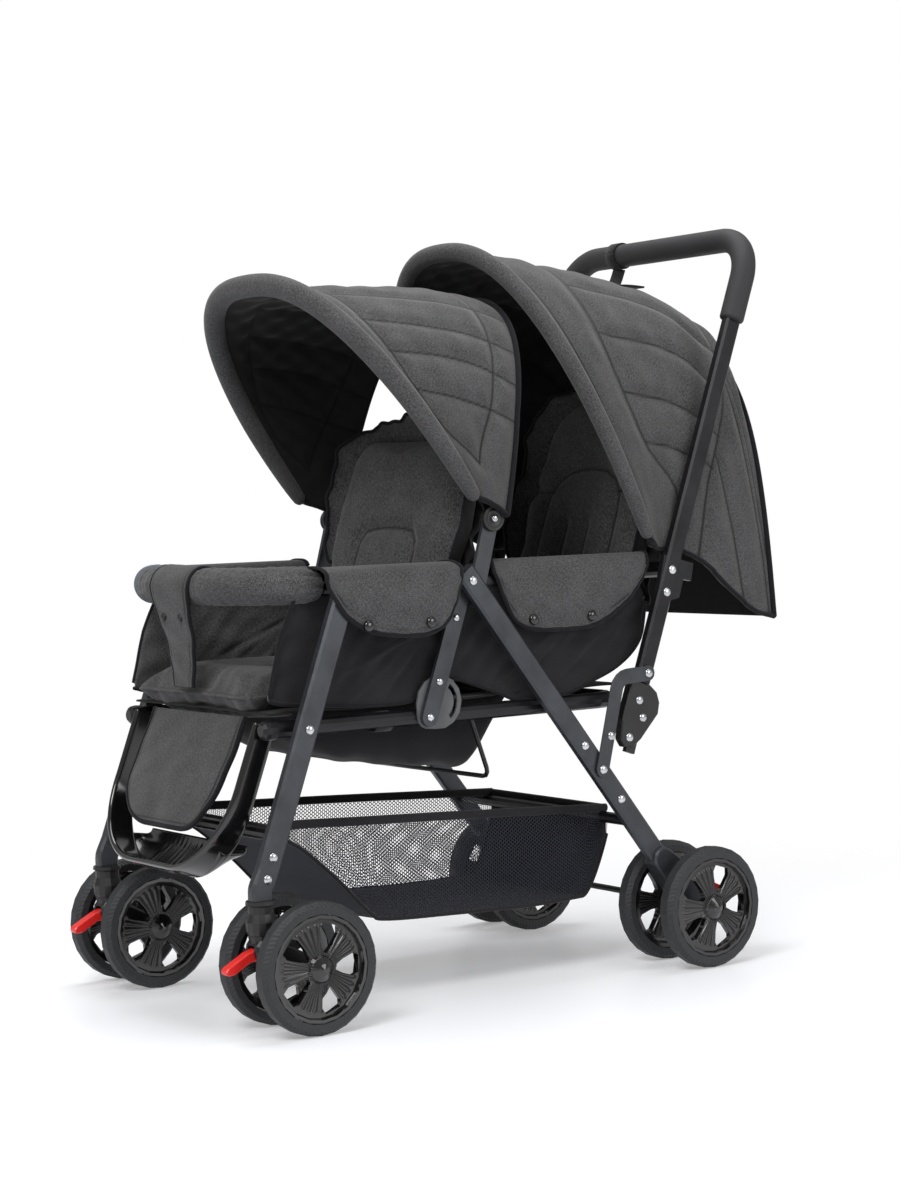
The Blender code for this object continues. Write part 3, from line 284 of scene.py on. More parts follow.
def placeCoords(tree, source, scale):
    texture = addNode(tree, "ShaderNodeTexCoord")
    return addNode(tree, "ShaderNodeMapping", Vector=texture.outputs[source], Scale=scale).outputs["Vector"]


def noise(tree, coords, scale, detail, roughness=0.5):
    place = placeCoords(tree, coords, scale)
    return addNode(tree, "ShaderNodeTexNoise", Vector=place, Scale=1.0, Detail=detail, Roughness=roughness).outputs["Fac"]


def mapRange(tree, value, fromMin, fromMax, toMin=0.0, toMax=1.0, smooth=False):
    settings = {"interpolation_type": "SMOOTHSTEP" if smooth else "LINEAR"}
    ends = {"From_Min": fromMin, "From_Max": fromMax, "To_Min": toMin, "To_Max": toMax}
    return addNode(tree, "ShaderNodeMapRange", settings, Value=value, **ends).outputs["Result"]


def bump(tree, height, distance, strength=1.0, **more):
    return addNode(tree, "ShaderNodeBump", Height=height, Strength=strength, Distance=distance, **more).outputs["Normal"]


def ramp(tree, factor, stops):
    node = addNode(tree, "ShaderNodeValToRGB", Fac=factor)
    while len(node.color_ramp.elements) < len(stops):
        node.color_ramp.elements.new(0.5)
    for element, (place, colour) in zip(node.color_ramp.elements, stops):
        element.position = place
        element.color = (*colour, 1)
    return node.outputs["Color"]


def mixColour(tree, factor, first, second):
    node = addNode(tree, "ShaderNodeMix", {"data_type": "RGBA"})
    feed(tree, (node.inputs[0], node.inputs[6], node.inputs[7]), (factor, first, (*second, 1)))
    return node.outputs[2]


def setShader(shader, **values):
    for key, value in values.items():
        shader.inputs[key.replace("_", " ")].default_value = value


# Woven melange cloth: fine light and dark yarn streaks both ways, soft larger clouding, a weave bump,
# and a darker stitched groove where the piece has a seam attribute.
def clothMaterial(
    name, dark, light, coords="UV", streak=(230, 800, 500), weave=900, lift=0.35, seam=False, sheen=0.25, speckle=520
):
    material, tree, shader = newMaterial(name)
    warp = noise(tree, coords, streak, 2.5, 0.65)
    weft = noise(tree, coords, (streak[1], streak[0], streak[2]), 2.0, 0.6)
    cloud = noise(tree, coords, (30, 30, 30), 3.0, 0.55)
    speck = noise(tree, coords, tuple(speckle * s / max(streak) * 1.6 for s in streak), 1.5, 0.7)
    yarn = mathNode(tree, "MULTIPLY_ADD", speck, 1.3, mathNode(tree, "ADD", warp, weft))
    height = mathNode(tree, "MULTIPLY_ADD", cloud, 0.09, mathNode(tree, "MULTIPLY_ADD", yarn, 0.255, 0.0))
    middle = tuple(0.55 * a + 0.45 * b for a, b in zip(dark, light))
    colour = ramp(tree, height, [(0.38, dark), (0.465, middle), (0.55, light)])
    if seam:
        line = addNode(tree, "ShaderNodeAttribute", {"attribute_name": "seam"}).outputs["Fac"]
        colour = mixColour(tree, line, colour, tuple(0.22 * c for c in dark))
    tree.links.new(colour, shader.inputs["Base Color"])
    grain = noise(tree, coords, (weave, weave, weave), 2.0)
    tree.links.new(bump(tree, mathNode(tree, "ADD", grain, height), 0.0006, lift), shader.inputs["Normal"])
    setShader(shader, Roughness=0.92, Sheen_Weight=sheen, Sheen_Roughness=0.45, Specular_IOR_Level=0.3)
    return material


# Plain moulded, painted or dyed surface: one colour with slow variation, fine grain bump and uneven roughness.
def surfaceMaterial(name, colour, rough, metal=0.0, grain=700, lift=0.12, wear=0.0, coat=0.0, spread=0.25):
    material, tree, shader = newMaterial(name)
    slow = noise(tree, "Object", (22, 22, 22), 4.0, 0.6)
    fine = noise(tree, "Object", (grain, grain, grain), 2.0)
    low, high = (tuple(c * share for c in colour) for share in (1 - spread, 1 + spread))
    shade = ramp(tree, slow, [(0.3, low), (0.7, high)])
    if wear:
        mark = mapRange(tree, noise(tree, "Object", (90, 90, 14), 6.0, 0.75), 0.62, 0.78, 0.0, wear)
        shade = mixColour(tree, mark, shade, tuple(min(1, c * 2.2 + 0.03) for c in colour))
    tree.links.new(shade, shader.inputs["Base Color"])
    tree.links.new(mapRange(tree, slow, 0.3, 0.7, *rough), shader.inputs["Roughness"])
    tree.links.new(bump(tree, fine, 0.0003, lift), shader.inputs["Normal"])
    setShader(shader, Metallic=metal, Coat_Weight=coat, Coat_Roughness=0.12)
    return material


melange = {
    "dark": (0.020, 0.020, 0.0205), "light": (0.108, 0.108, 0.110), "seam": True, "sheen": 0.16, "lift": 0.22,
    "speckle": 800,
}
heather = clothMaterial("heatherCloth", **melange)
heatherPad = clothMaterial("heatherPadCloth", coords="Object", streak=(500, 800, 260), **melange)
lining = clothMaterial(
    "blackLining", (0.0035, 0.0035, 0.0038), (0.012, 0.012, 0.0125), streak=(700, 700, 700), lift=0.25, seam=True,
    sheen=0.12,
)
oxford = clothMaterial(
    "blackOxford", (0.0055, 0.0052, 0.0062), (0.018, 0.017, 0.020), streak=(900, 900, 900), lift=0.3, seam=True, sheen=0.2
)
bindingCloth = clothMaterial(
    "blackBinding", (0.003, 0.003, 0.004), (0.009, 0.009, 0.012), streak=(1200, 300, 900), weave=1800, lift=0.4,
    sheen=0.08,
)
webbing = clothMaterial(
    "blackWebbing", (0.006, 0.006, 0.007), (0.02, 0.02, 0.021), streak=(300, 1900, 900), weave=1500, lift=0.7, sheen=0.2
)
netCloth = clothMaterial(
    "netCloth", (0.010, 0.0105, 0.015), (0.034, 0.036, 0.048), streak=(1500, 1500, 1500), lift=0.2, sheen=0.1
)
legPaint = surfaceMaterial(
    "gunmetalPaint", (0.052, 0.056, 0.063), (0.34, 0.46), metal=0.55, grain=1500, lift=0.1, wear=0.35
)
tubePaint = surfaceMaterial(
    "blackPaint", (0.011, 0.011, 0.013), (0.28, 0.40), metal=0.35, grain=1500, lift=0.08, wear=0.15
)
blackPlastic = surfaceMaterial("blackPlastic", (0.010, 0.010, 0.011), (0.38, 0.52), grain=1200, lift=0.2)
glossPlastic = surfaceMaterial("glossPlastic", (0.0045, 0.0045, 0.005), (0.10, 0.20), grain=300, lift=0.05, coat=0.5)
greyPlastic = surfaceMaterial("greyPlastic", (0.082, 0.085, 0.090), (0.40, 0.52), grain=1100, lift=0.2)
# Painted sheen: a blue-grey colour for the bluish light seen on the bumper bar's far bend.
barSheenPaint = surfaceMaterial("paintedBarSheen", (0.085, 0.115, 0.160), (0.45, 0.60), grain=1100, lift=0.2)
redPlastic = surfaceMaterial("redPlastic", (0.78, 0.022, 0.018), (0.28, 0.40), grain=900, lift=0.1, spread=0.08)
tyreRubber = surfaceMaterial("tyreRubber", (0.022, 0.023, 0.025), (0.55, 0.72), grain=900, lift=0.35)
foamRubber = surfaceMaterial("foamRubber", (0.022, 0.0218, 0.024), (0.62, 0.75), grain=2200, lift=0.8)
zinc = surfaceMaterial("zincPlate", (0.55, 0.56, 0.58), (0.18, 0.32), metal=1.0, grain=900, lift=0.1)
print("materials made")

finishOf = {
    "leg_metal": legPaint, "black_metal": tubePaint, "black_plastic": blackPlastic, "gloss_plastic": glossPlastic,
    "grey_plastic": greyPlastic, "red_plastic": redPlastic, "tyre": tyreRubber, "foam": foamRubber,
    "grey_fabric": heatherPad, "black_fabric": oxford, "mesh_fabric": netCloth,
}
# A wheel's own finish: bump = sin(n * angle) round its axle, faded in and out over its radius. Rims get 35 flutes that run
# out along the spokes, tyres a faint slanted tread.
wheelLook = {
    "rim": {"turns": 35, "depth": 0.0016, "near": 0.014, "far": 0.056, "slant": 0.0, "base": glossPlastic},
    "tyre": {"turns": 84, "depth": 0.0003, "near": 0.071, "far": 0.084, "slant": 9.0, "base": tyreRubber},
}
wheelFade = 0.006


def wheelMaterial(node, look):
    material = look["base"].copy()
    material.name = f"{node.name}_finish"
    tree, shader = material.node_tree, material.node_tree.nodes["Principled BSDF"]
    middle = tuple(-(a + b) / 2 for a, b in zip(*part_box(node.name)))
    texture = addNode(tree, "ShaderNodeTexCoord").outputs["Object"]
    place = addNode(tree, "ShaderNodeMapping", Vector=texture, Location=middle).outputs["Vector"]
    x, y, z = addNode(tree, "ShaderNodeSeparateXYZ", Vector=place).outputs
    angle = mathNode(tree, "MULTIPLY_ADD", x, look["slant"], mathNode(tree, "ARCTAN2", z, y))
    wave = mathNode(tree, "SINE", mathNode(tree, "MULTIPLY", angle, look["turns"]))
    flat = addNode(tree, "ShaderNodeCombineXYZ", Y=y, Z=z).outputs[0]
    radius = addNode(tree, "ShaderNodeVectorMath", {"operation": "LENGTH"})
    tree.links.new(flat, radius.inputs[0])
    ends = ((look["near"], look["near"] + wheelFade), (look["far"], look["far"] - wheelFade))
    grow, fall = (mapRange(tree, radius.outputs["Value"], *pair, smooth=True) for pair in ends)
    height = mathNode(tree, "MULTIPLY", mathNode(tree, "MULTIPLY", grow, fall), wave)
    fine = shader.inputs["Normal"].links[0].from_node.outputs["Normal"]
    tree.links.new(bump(tree, height, look["depth"], Normal=fine), shader.inputs["Normal"])
    return material


for part in frame["record"]["subparts"]:
    node = nodes.get(part["node"])
    if node:
        look = next((look for kind, look in wheelLook.items() if f"_{kind}_" in part["node"]), None)
        node.data.materials.clear()
        node.data.materials.append(wheelMaterial(node, look) if look else finishOf.get(part["material_slot"], blackPlastic))


# A bow is a super-ellipse arch in a plane through its two hinge points:
# x = half * |cos t|^(2/p), rise = reach * |sin t|^(2/p), leaned back by its angle. Rows between bows follow smooth
# curves through the bows' own numbers, and each row's points lie at even steps along it, short of its hinges by the hem.
def bowRows(bows, rows, cols, hem):
    table = np.asarray(bows, float)
    table = hermite(table, np.linspace(0, len(table) - 1, rows))
    hingeY, hingeZ, angle, reach, half, base, power = [c[:, None] for c in table.T]
    step = np.linspace(0, 1, 700)[None]
    turn = math.pi * (step - np.sin(2 * math.pi * step) / (2 * math.pi))
    rise = np.abs(np.sin(turn)) ** (2 / power)
    rise[:, [0, -1]] = 0
    narrow = base / half
    x = np.sign(np.cos(turn)) * half * np.abs(np.cos(turn)) ** (2 / power)
    x = x * (narrow + (1 - narrow) * np.minimum(2.2 * rise, 1))
    lean = np.radians(angle)
    line = np.stack([x, hingeY - reach * rise * np.cos(lean), hingeZ + reach * rise * np.sin(lean)], -1)
    made = []
    for row, cut in zip(line, np.linspace(*hem, rows)):
        skip = 1 + int(2 * cols * cut / runLength(row)[-1])
        made.append(evenSteps(evenSteps(row, 2 * cols)[skip:-skip], cols))
    return np.stack(made)


# Distance in metres from every grid point to lines given in (u, t), measured with the grid's own lengths.
def lineDistance(grid, lines):
    rows, cols = grid.shape[:2]
    u, t = np.meshgrid(np.linspace(0, 1, rows), np.linspace(0, 1, cols), indexing="ij")
    lengthU = runLength(grid)[-1][None] + 1e-6
    lengthT = runLength(grid.transpose(1, 0, 2))[-1][:, None] + 1e-6
    best = np.full(u.shape, 9.0)
    for line in lines:
        line = smoothPath(line, 14) if len(line) > 2 else np.asarray(line, float)
        for (u0, t0), (u1, t1) in zip(line[:-1], line[1:]):
            du, dt = (u1 - u0) * lengthU, (t1 - t0) * lengthT
            pu, pt = (u - u0) * lengthU, (t - t0) * lengthT
            share = np.clip((pu * du + pt * dt) / np.maximum(du**2 + dt**2, 1e-12), 0, 1)
            best = np.minimum(best, np.hypot(pu - share * du, pt - share * dt))
    return best


def bothSides(lines):
    return [list(map(tuple, line)) for line in lines] + [[(u, 1 - t) for u, t in line] for line in lines]


# The padded shell between the bows: outer = bow surface + normal * puff * (1 - exp(-(d / soft)^2)), d = distance to a seam.
def hood(name, look):
    grid = bowRows(look["bows"], look["rows"], look["cols"], look["hem"])
    out = gridNormals(grid)
    middle = grid.mean(axis=(0, 1)) - (0, 0, 0.15)
    if ((grid - middle) * out).sum() < 0:
        out = -out
    d = lineDistance(grid, bothSides(look["seams"]))
    along = runLength(grid)
    edge = np.minimum(along, along[-1] - along)
    x, y, z = (grid[..., k] for k in range(3))
    puff = look["puff"] * (1 - bell(d, look["soft"]))
    wave = 0.0012 * np.sin(y * 95 + z * 60) * np.sin(x * 70 + y * 41)
    calm = 1 - bell(edge, 0.02)
    outer = grid + out * ((puff + wave * (1 - bell(d, 0.012))) * calm)[..., None]
    liningWave = 0.0016 * np.sin(y * 130 + z * 33) * np.sin(x * 90 + z * 150)
    inner = grid - out * (0.0045 + (0.0035 * (1 - bell(d, 0.010)) + liningWave) * calm)[..., None]
    return grid, out, shell(name, outer, inner, [heather, lining], {"seam": bell(d, look["stitch"])})


frontHoodLook = {
    "bows": [
        (-0.010, 0.6215, 54, 0.380, 0.2165, 0.2110, 2.6), (-0.004, 0.6215, 62, 0.349, 0.2160, 0.2110, 2.6),
        (0.004, 0.6215, 75, 0.320, 0.2140, 0.2080, 2.7), (0.014, 0.6210, 90, 0.308, 0.2090, 0.2055, 2.8),
        (0.024, 0.6205, 104, 0.306, 0.1950, 0.2050, 2.9),
    ],
    "rows": 110, "cols": 330, "puff": 0.0045, "soft": 0.011, "stitch": 0.0016, "roll": 0.0150, "shift": 0.0050,
    "hem": (0.036, 0.004),
    "seams": [
        [(0.050, 0.0), (0.052, 0.12), (0.045, 0.3), (0.045, 0.5)],
        [(0.456, 0.062), (0.206, 0.120), (0.175, 0.190), (0.205, 0.260), (0.235, 0.38), (0.245, 0.5)],
        [(0.456, 0.062), (0.706, 0.152), (0.788, 0.215), (0.819, 0.268), (0.830, 0.38), (0.832, 0.5)],
        [(0.045, 0.195), (0.40, 0.172), (0.706, 0.152), (1.0, 0.148)],
        [(0.195, 0.255), (0.50, 0.238), (0.788, 0.215), (1.0, 0.208)],
        [(0.215, 0.320), (0.50, 0.296), (0.819, 0.272), (1.0, 0.266)],
        [(0.235, 0.398), (0.50, 0.375), (0.825, 0.345), (1.0, 0.332)],
    ],
}
rearHoodLook = {
    "bows": [
        (0.262, 0.582, 65, 0.439, 0.2090, 0.2080, 2.5), (0.272, 0.574, 71, 0.428, 0.2070, 0.2050, 2.5),
        (0.290, 0.565, 82, 0.405, 0.1990, 0.1920, 2.6), (0.325, 0.563, 91, 0.383, 0.1930, 0.1920, 2.8),
        (0.375, 0.541, 90, 0.396, 0.1920, 0.1920, 2.9), (0.420, 0.505, 89, 0.415, 0.1900, 0.1910, 3.0),
        (0.465, 0.475, 89, 0.422, 0.1870, 0.1890, 3.2), (0.503, 0.464, 86, 0.395, 0.1850, 0.1870, 3.2),
    ],
    "rows": 170, "cols": 360, "puff": 0.0045, "soft": 0.011, "stitch": 0.0016, "roll": 0.0125, "shift": 0.0065,
    "hem": (0.010, 0.003),
    "seams": [
        [(0.10, 0.0), (0.12, 0.12), (0.11, 0.3), (0.105, 0.5)],
        [(0.44, 0.045), (0.419, 0.087), (0.300, 0.142), (0.250, 0.215), (0.240, 0.32), (0.240, 0.5)],
        [(0.531, 0.0), (0.594, 0.110), (0.681, 0.188), (0.769, 0.263), (0.805, 0.34), (0.81, 0.5)],
        [(0.300, 0.147), (0.481, 0.142), (0.64, 0.148)],
        [(0.250, 0.215), (0.556, 0.207), (0.71, 0.207)],
        [(0.240, 0.300), (0.50, 0.292), (0.78, 0.280)],
        [(0.240, 0.385), (0.50, 0.372), (0.80, 0.345)],
        [(0.800, 0.320), (0.85, 0.228), (0.944, 0.092), (0.97, 0.0)],
        [(0.800, 0.345), (0.90, 0.228), (1.0, 0.06)],
        [(0.669, 0.177), (0.74, 0.09), (0.794, 0.0)],
    ],
}


# The padded roll on the front bow, moved out of the bow by its shift: a round tube swollen by |sin|^0.35 to the crown.
def hoodRoll(name, grid, out, crown, shift):
    base = 0.0075
    share = np.linspace(0, 1, len(grid[0]))
    path = grid[0] + out[0] * (shift * np.sin(math.pi * share) ** 0.5)[:, None]
    fullness = np.sin(math.pi * share) ** 0.35
    fullness[[0, -1]] = 0
    size = base + (crown - base) * fullness
    return tube(name, path, size, size, heather, up=(0, 1, 0.6), sides=28, cap=0.5)


def edgeBinding(name, line, size):
    return tube(name, line, size, size * 0.62, bindingCloth, up=(0, 1, 0.3), sides=10, cap=0.5)


def makeHoods():
    for which, look in (("front", frontHoodLook), ("rear", rearHoodLook)):
        body = f"{which}_canopy_frame"
        grid, out, cover = hood(f"{which}_hood", look)
        finishPiece(cover, body, [f"{which}_canopy"])
        roll = hoodRoll(f"{which}_hood_roll", grid, out, look["roll"], look["shift"])
        finishPiece(roll, body)
        rear = edgeBinding(f"{which}_hood_rear_edge", grid[-1], 0.0062)
        sides = [edgeBinding(f"{which}_hood_hem_{k}", grid[:, k], 0.0056) for k in (0, -1)]
        finishPiece(joined(f"{which}_hood_binding", [rear, *sides]), body)
        yield which, grid, out


hoodGrids = {which: (grid, out) for which, grid, out in makeHoods()}

# The panel that closes the rear hood behind the seat: it fills the last bow, and is quilted with upright seams.
rearPanelLook = {"rows": 60, "puff": 0.004, "seams": 6}


def makeRearPanel():
    arch = hoodGrids["rear"][0][-1]
    count = len(arch) // 2
    left, right = arch[:count], arch[::-1][:count]
    share = np.linspace(0, 1, rearPanelLook["rows"])[None, :, None]
    grid = left[:, None] * (1 - share) + right[:, None] * share
    across = grid[..., 0] / np.maximum(np.abs(left[:, None, 0]), 1e-6)
    quilt = np.sin(across * math.pi * rearPanelLook["seams"] / 2)
    puff = rearPanelLook["puff"] * np.abs(quilt) ** 0.6
    outer = grid + np.stack([0 * puff, 0.0015 + puff * np.clip(1 - across**2, 0, 1) ** 0.5, 0 * puff], -1)
    panel = shell("rear_hood_panel", outer, grid - (0, 0.002, 0), [heather, lining], {"seam": bell(quilt, 0.09)})
    finishPiece(panel, "rear_canopy_frame")


makeRearPanel()
print("hoods made")

clothSettings = {
    "quality": 4, "mass": 0.25, "tension_stiffness": 12, "compression_stiffness": 12, "bending_stiffness": 0.25,
    "use_pressure": True,
}
clothFrames = 20


# Swells a closed mesh: voxel remesh, cloth under pressure with no gravity, then no point may be further than the cap
# from its start.
def inflate(obj, look):
    remesh = obj.modifiers.new("remesh", "REMESH")
    remesh.mode = "VOXEL"
    remesh.voxel_size = look["voxel"]
    settle(obj)
    start = readPoints(obj.data)
    cloth = obj.modifiers.new("cloth", "CLOTH")
    for key, value in clothSettings.items():
        setattr(cloth.settings, key, value)
    cloth.settings.uniform_pressure_force = look["pressure"]
    cloth.settings.effector_weights.gravity = 0
    cloth.collision_settings.use_collision = False
    cloth.point_cache.frame_start, cloth.point_cache.frame_end = 1, clothFrames
    for number in range(1, clothFrames + 1):
        bpy.context.scene.frame_set(number)
    settle(obj)
    bpy.context.scene.frame_set(1)
    move = readPoints(obj.data) - start
    length = np.linalg.norm(move, axis=1, keepdims=True)
    writePoints(obj.data, start + move * np.minimum(1, look["cap"] / np.maximum(length, 1e-9)))
    fine = obj.modifiers.new("fine", "SUBSURF")
    fine.levels = fine.render_levels = 1
    settle(obj)
    obj.data.shade_smooth()
    return obj


def settle(obj):
    bpy.context.view_layer.update()
    mesh = bpy.data.meshes.new_from_object(obj.evaluated_get(bpy.context.evaluated_depsgraph_get()))
    obj.modifiers.clear()
    obj.data = mesh
    mesh.name = obj.name


def readVectors(items, key):
    flat = np.zeros(len(items) * 3, np.float32)
    items.foreach_get(key, flat)
    return flat.reshape(-1, 3).astype(float)


def readPoints(mesh):
    return readVectors(mesh.vertices, "co")


def readNormals(mesh):
    return readVectors(mesh.vertex_normals, "vector")


def writePoints(mesh, points):
    mesh.vertices.foreach_set("co", np.asarray(points, np.float32).ravel())
    mesh.update()


# Presses sewn lines into a finished pad: each point goes in along its normal by depth * exp(-(d / wide)^2).
def pressSeams(obj, local, lines, depth, wide):
    points, normals = readPoints(obj.data), readNormals(obj.data)
    a, b, n = local(points)
    best = np.full(len(points), 9.0)
    for line in lines:
        line = smoothPath(line, 24) if len(line) > 2 else np.asarray(line, float)
        for p, q in zip(line[:-1], line[1:]):
            span = q - p
            share = np.clip(((a - p[0]) * span[0] + (b - p[1]) * span[1]) / max(span @ span, 1e-12), 0, 1)
            best = np.minimum(best, np.hypot(a - p[0] - share * span[0], b - p[1] - share * span[1]))
    facing = np.clip(n * 400, 0, 1)
    writePoints(obj.data, points - normals * (depth * bell(best, wide) * facing)[:, None])
    line = bell(best, 0.0016) * facing
    attribute = obj.data.attributes.get("seam") or obj.data.attributes.new("seam", "FLOAT", "POINT")
    attribute.data.foreach_set("value", line.astype(np.float32))


# A pad in its own plane: a across, b along, n up. Half-width w(b) from its outline, sides pulled in between the corners,
# and height n = +-thick * ((1 - s^p)(1 - t^p))^0.5 over its plan, with the lower side flatter.
def padMesh(name, look, material):
    s, t = np.meshgrid(np.linspace(-1, 1, 61), np.linspace(-1, 1, 61), indexing="ij")
    b = look["halfLength"] * t * (1 - look["pull"] * (1 - s**2))
    wide = np.interp(t, [p[0] for p in look["outline"]], [p[1] for p in look["outline"]])
    a = wide * s * (1 - look["pull"] * (1 - t**2))
    crown = ((1 - np.abs(s) ** look["crown"]) * (1 - np.abs(t) ** look["crown"])) ** 0.5
    top = np.stack([a, b, look["thick"] * crown], -1)
    low = np.stack([a, b, -look["thick"] * look["under"] * crown], -1)
    rows = s.shape[0]
    faces = gridFaces(rows, rows)
    points = np.concatenate([top.reshape(-1, 3), low.reshape(-1, 3)]) @ np.array(look["axes"], float) + look["centre"]
    return makeObject(name, points, np.concatenate([faces, rows * rows + faces[:, ::-1]]), material)


def localOf(look):
    axes = np.array(look["axes"], float)
    centre = np.asarray(look["centre"], float) + (0, shiftY, 0)

    def local(points):
        found = (points - centre) @ axes.T
        return found[:, 0], found[:, 1], found[:, 2]

    return local


# A cord of the pad's own cloth where a ring of rays in its middle plane, towards its centre, meets it.
def padPiping(name, pad, look):
    radius, rays = 0.0026, 160
    axes, centre = np.array(look["axes"], float), np.asarray(look["centre"], float) + (0, shiftY, 0)
    work = bmesh.new()
    work.from_mesh(pad.data)
    tree = BVHTree.FromBMesh(work)
    found = []
    widest = max(p[1] for p in look["outline"])
    for turn in np.linspace(0, 2 * math.pi, rays, endpoint=False):
        origin = 1.8 * np.array([math.cos(turn) * widest, math.sin(turn) * look["halfLength"], 0.0])
        way = -origin @ axes
        hit = tree.ray_cast(Vector(origin @ axes + centre), Vector(way / np.linalg.norm(way)))
        if hit[0] is not None:
            found.append(np.array(hit[0]) - (0, shiftY, 0))
    work.free()
    line = np.array(found + found[:2])
    line = np.stack([np.convolve(line[:, k], [0.25, 0.5, 0.25], "valid") for k in range(3)], -1)
    line = np.concatenate([line, line[:1]])
    return tube(name, evenSteps(line, 320), radius, radius * 0.85, heatherPad, up=axes[2], sides=8, cap=0)


frontCushionLook = {
    "centre": (0, -0.2215, 0.4085), "axes": [(1, 0, 0), (0, -1, 0), (0, 0, 1)], "halfLength": 0.1275, "pull": 0.03,
    "outline": [(-1, 0.152), (0, 0.158), (0.9, 0.158), (1, 0.158)], "thick": 0.0235, "under": 0.85, "crown": 3.6,
    "voxel": 0.0055, "cap": 0.013, "pressure": 5, "gather": (0.0026, 0.130), "dent": (0.010, 0.118),
}
rearCushionLook = {
    "centre": (0, 0.144, 0.4085), "axes": [(1, 0, 0), (0, -1, 0), (0, 0, 1)], "halfLength": 0.092, "pull": 0.02,
    "outline": [(-1, 0.150), (0, 0.156), (1, 0.150)], "thick": 0.021, "under": 0.75, "crown": 4.0,
    "voxel": 0.0055, "cap": 0.008, "pressure": 4,
}


def cushion(name, look, body, node, lines):
    pad = inflate(padMesh(name, look, heatherPad), look)
    if "gather" in look:  # folds that run back from the front edge, and the dent under the strap's foot
        points, normals = readPoints(pad.data), readNormals(pad.data)
        a, b, n = localOf(look)(points)
        high, edge = look["gather"]
        fold = high * (0.6 * np.sin(a * 105 + 3 * np.sin(b * 40)) + 0.4 * np.sin(a * 190 - b * 60))
        fold = fold * np.exp(-((np.abs(b - edge) / 0.045) ** 1.5))
        deep, middle = look["dent"]
        fold = fold - deep * bell(np.hypot(a / 0.045, (b - middle) / 0.030), 1) * np.clip(n * 90, 0, 1)
        writePoints(pad.data, points + normals * fold[:, None])
    pressSeams(pad, localOf(look), lines, 0.004, 0.008)
    finishPiece(pad, body, [node])
    finishPiece(padPiping(f"{name}_piping", pad, look), body)


cushion("front_seat_pad", frontCushionLook, "seat_frame", "front_seat_cushion", [
    [(-0.085, -0.10), (-0.085, 0.02), (-0.055, 0.05), (0.055, 0.05), (0.085, 0.02), (0.085, -0.10)],
])
cushion("rear_seat_pad", rearCushionLook, "seat_frame", "rear_seat_cushion", [
    [(-0.08, -0.09), (-0.08, 0.09)], [(0.08, -0.09), (0.08, 0.09)],
])
print("seat pads made")


# Seat backs lean from their hinges. Their plan is the board's outline: straight sides that close in, and a round top.
def backLook(low, high, half, broad, topHalf, thick, radius):
    low, high = np.array((0, *low)), np.array((0, *high))
    length = np.linalg.norm(high - low)
    up = (high - low) / length
    t = np.linspace(-1, 1, 61)
    height = (t + 1) / 2 * length
    wide = np.interp(height, [0, 0.15, 0.20, length - radius], [half, half, broad, topHalf])
    over = np.clip(height - (length - radius), 0, radius)
    wide = wide - (radius - np.sqrt(np.maximum(radius**2 - over**2, 0)))
    return {
        "centre": tuple((low + high) / 2), "axes": [(1, 0, 0), tuple(up), (0, -up[2], up[1])],
        "halfLength": length / 2, "pull": 0.012, "outline": list(zip(t, wide)), "thick": thick, "under": 0.75,
        "crown": 5.0, "voxel": 0.0055, "cap": 0.010, "pressure": 4,
    }


frontBackLook = backLook((-0.066, 0.4180), (0.0415, 0.7420), 0.158, 0.168, 0.153, 0.0165, 0.036)
rearBackLook = backLook((0.2640, 0.4400), (0.3855, 0.7960), 0.150, 0.158, 0.138, 0.0165, 0.085)


def seatBack(name, look, body, node, lines):
    pad = inflate(padMesh(name, look, heatherPad), look)
    pressSeams(pad, localOf(look), lines, 0.0085, 0.011)
    return finishPiece(pad, body, [node])


seatBack("front_back_pad", frontBackLook, "front_back_frame", "front_seat_back", [
    [(-0.068, -0.17), (-0.068, -0.005), (-0.048, 0.024), (0.048, 0.024), (0.068, -0.005), (0.068, -0.17)],
])
seatBack("rear_back_pad", rearBackLook, "rear_back_frame", "rear_seat_back", [
    [(-0.024, -0.19), (-0.024, -0.02)], [(0.024, -0.19), (0.024, -0.02)],
    [
        (-0.082, -0.19), (-0.082, 0.00), (-0.066, 0.045), (-0.03, 0.062), (0.03, 0.062), (0.066, 0.045), (0.082, 0.00),
        (0.082, -0.19),
    ],
    [(-0.150, 0.034), (-0.074, 0.030)], [(0.074, 0.030), (0.150, 0.034)],
])
print("seat backs made")


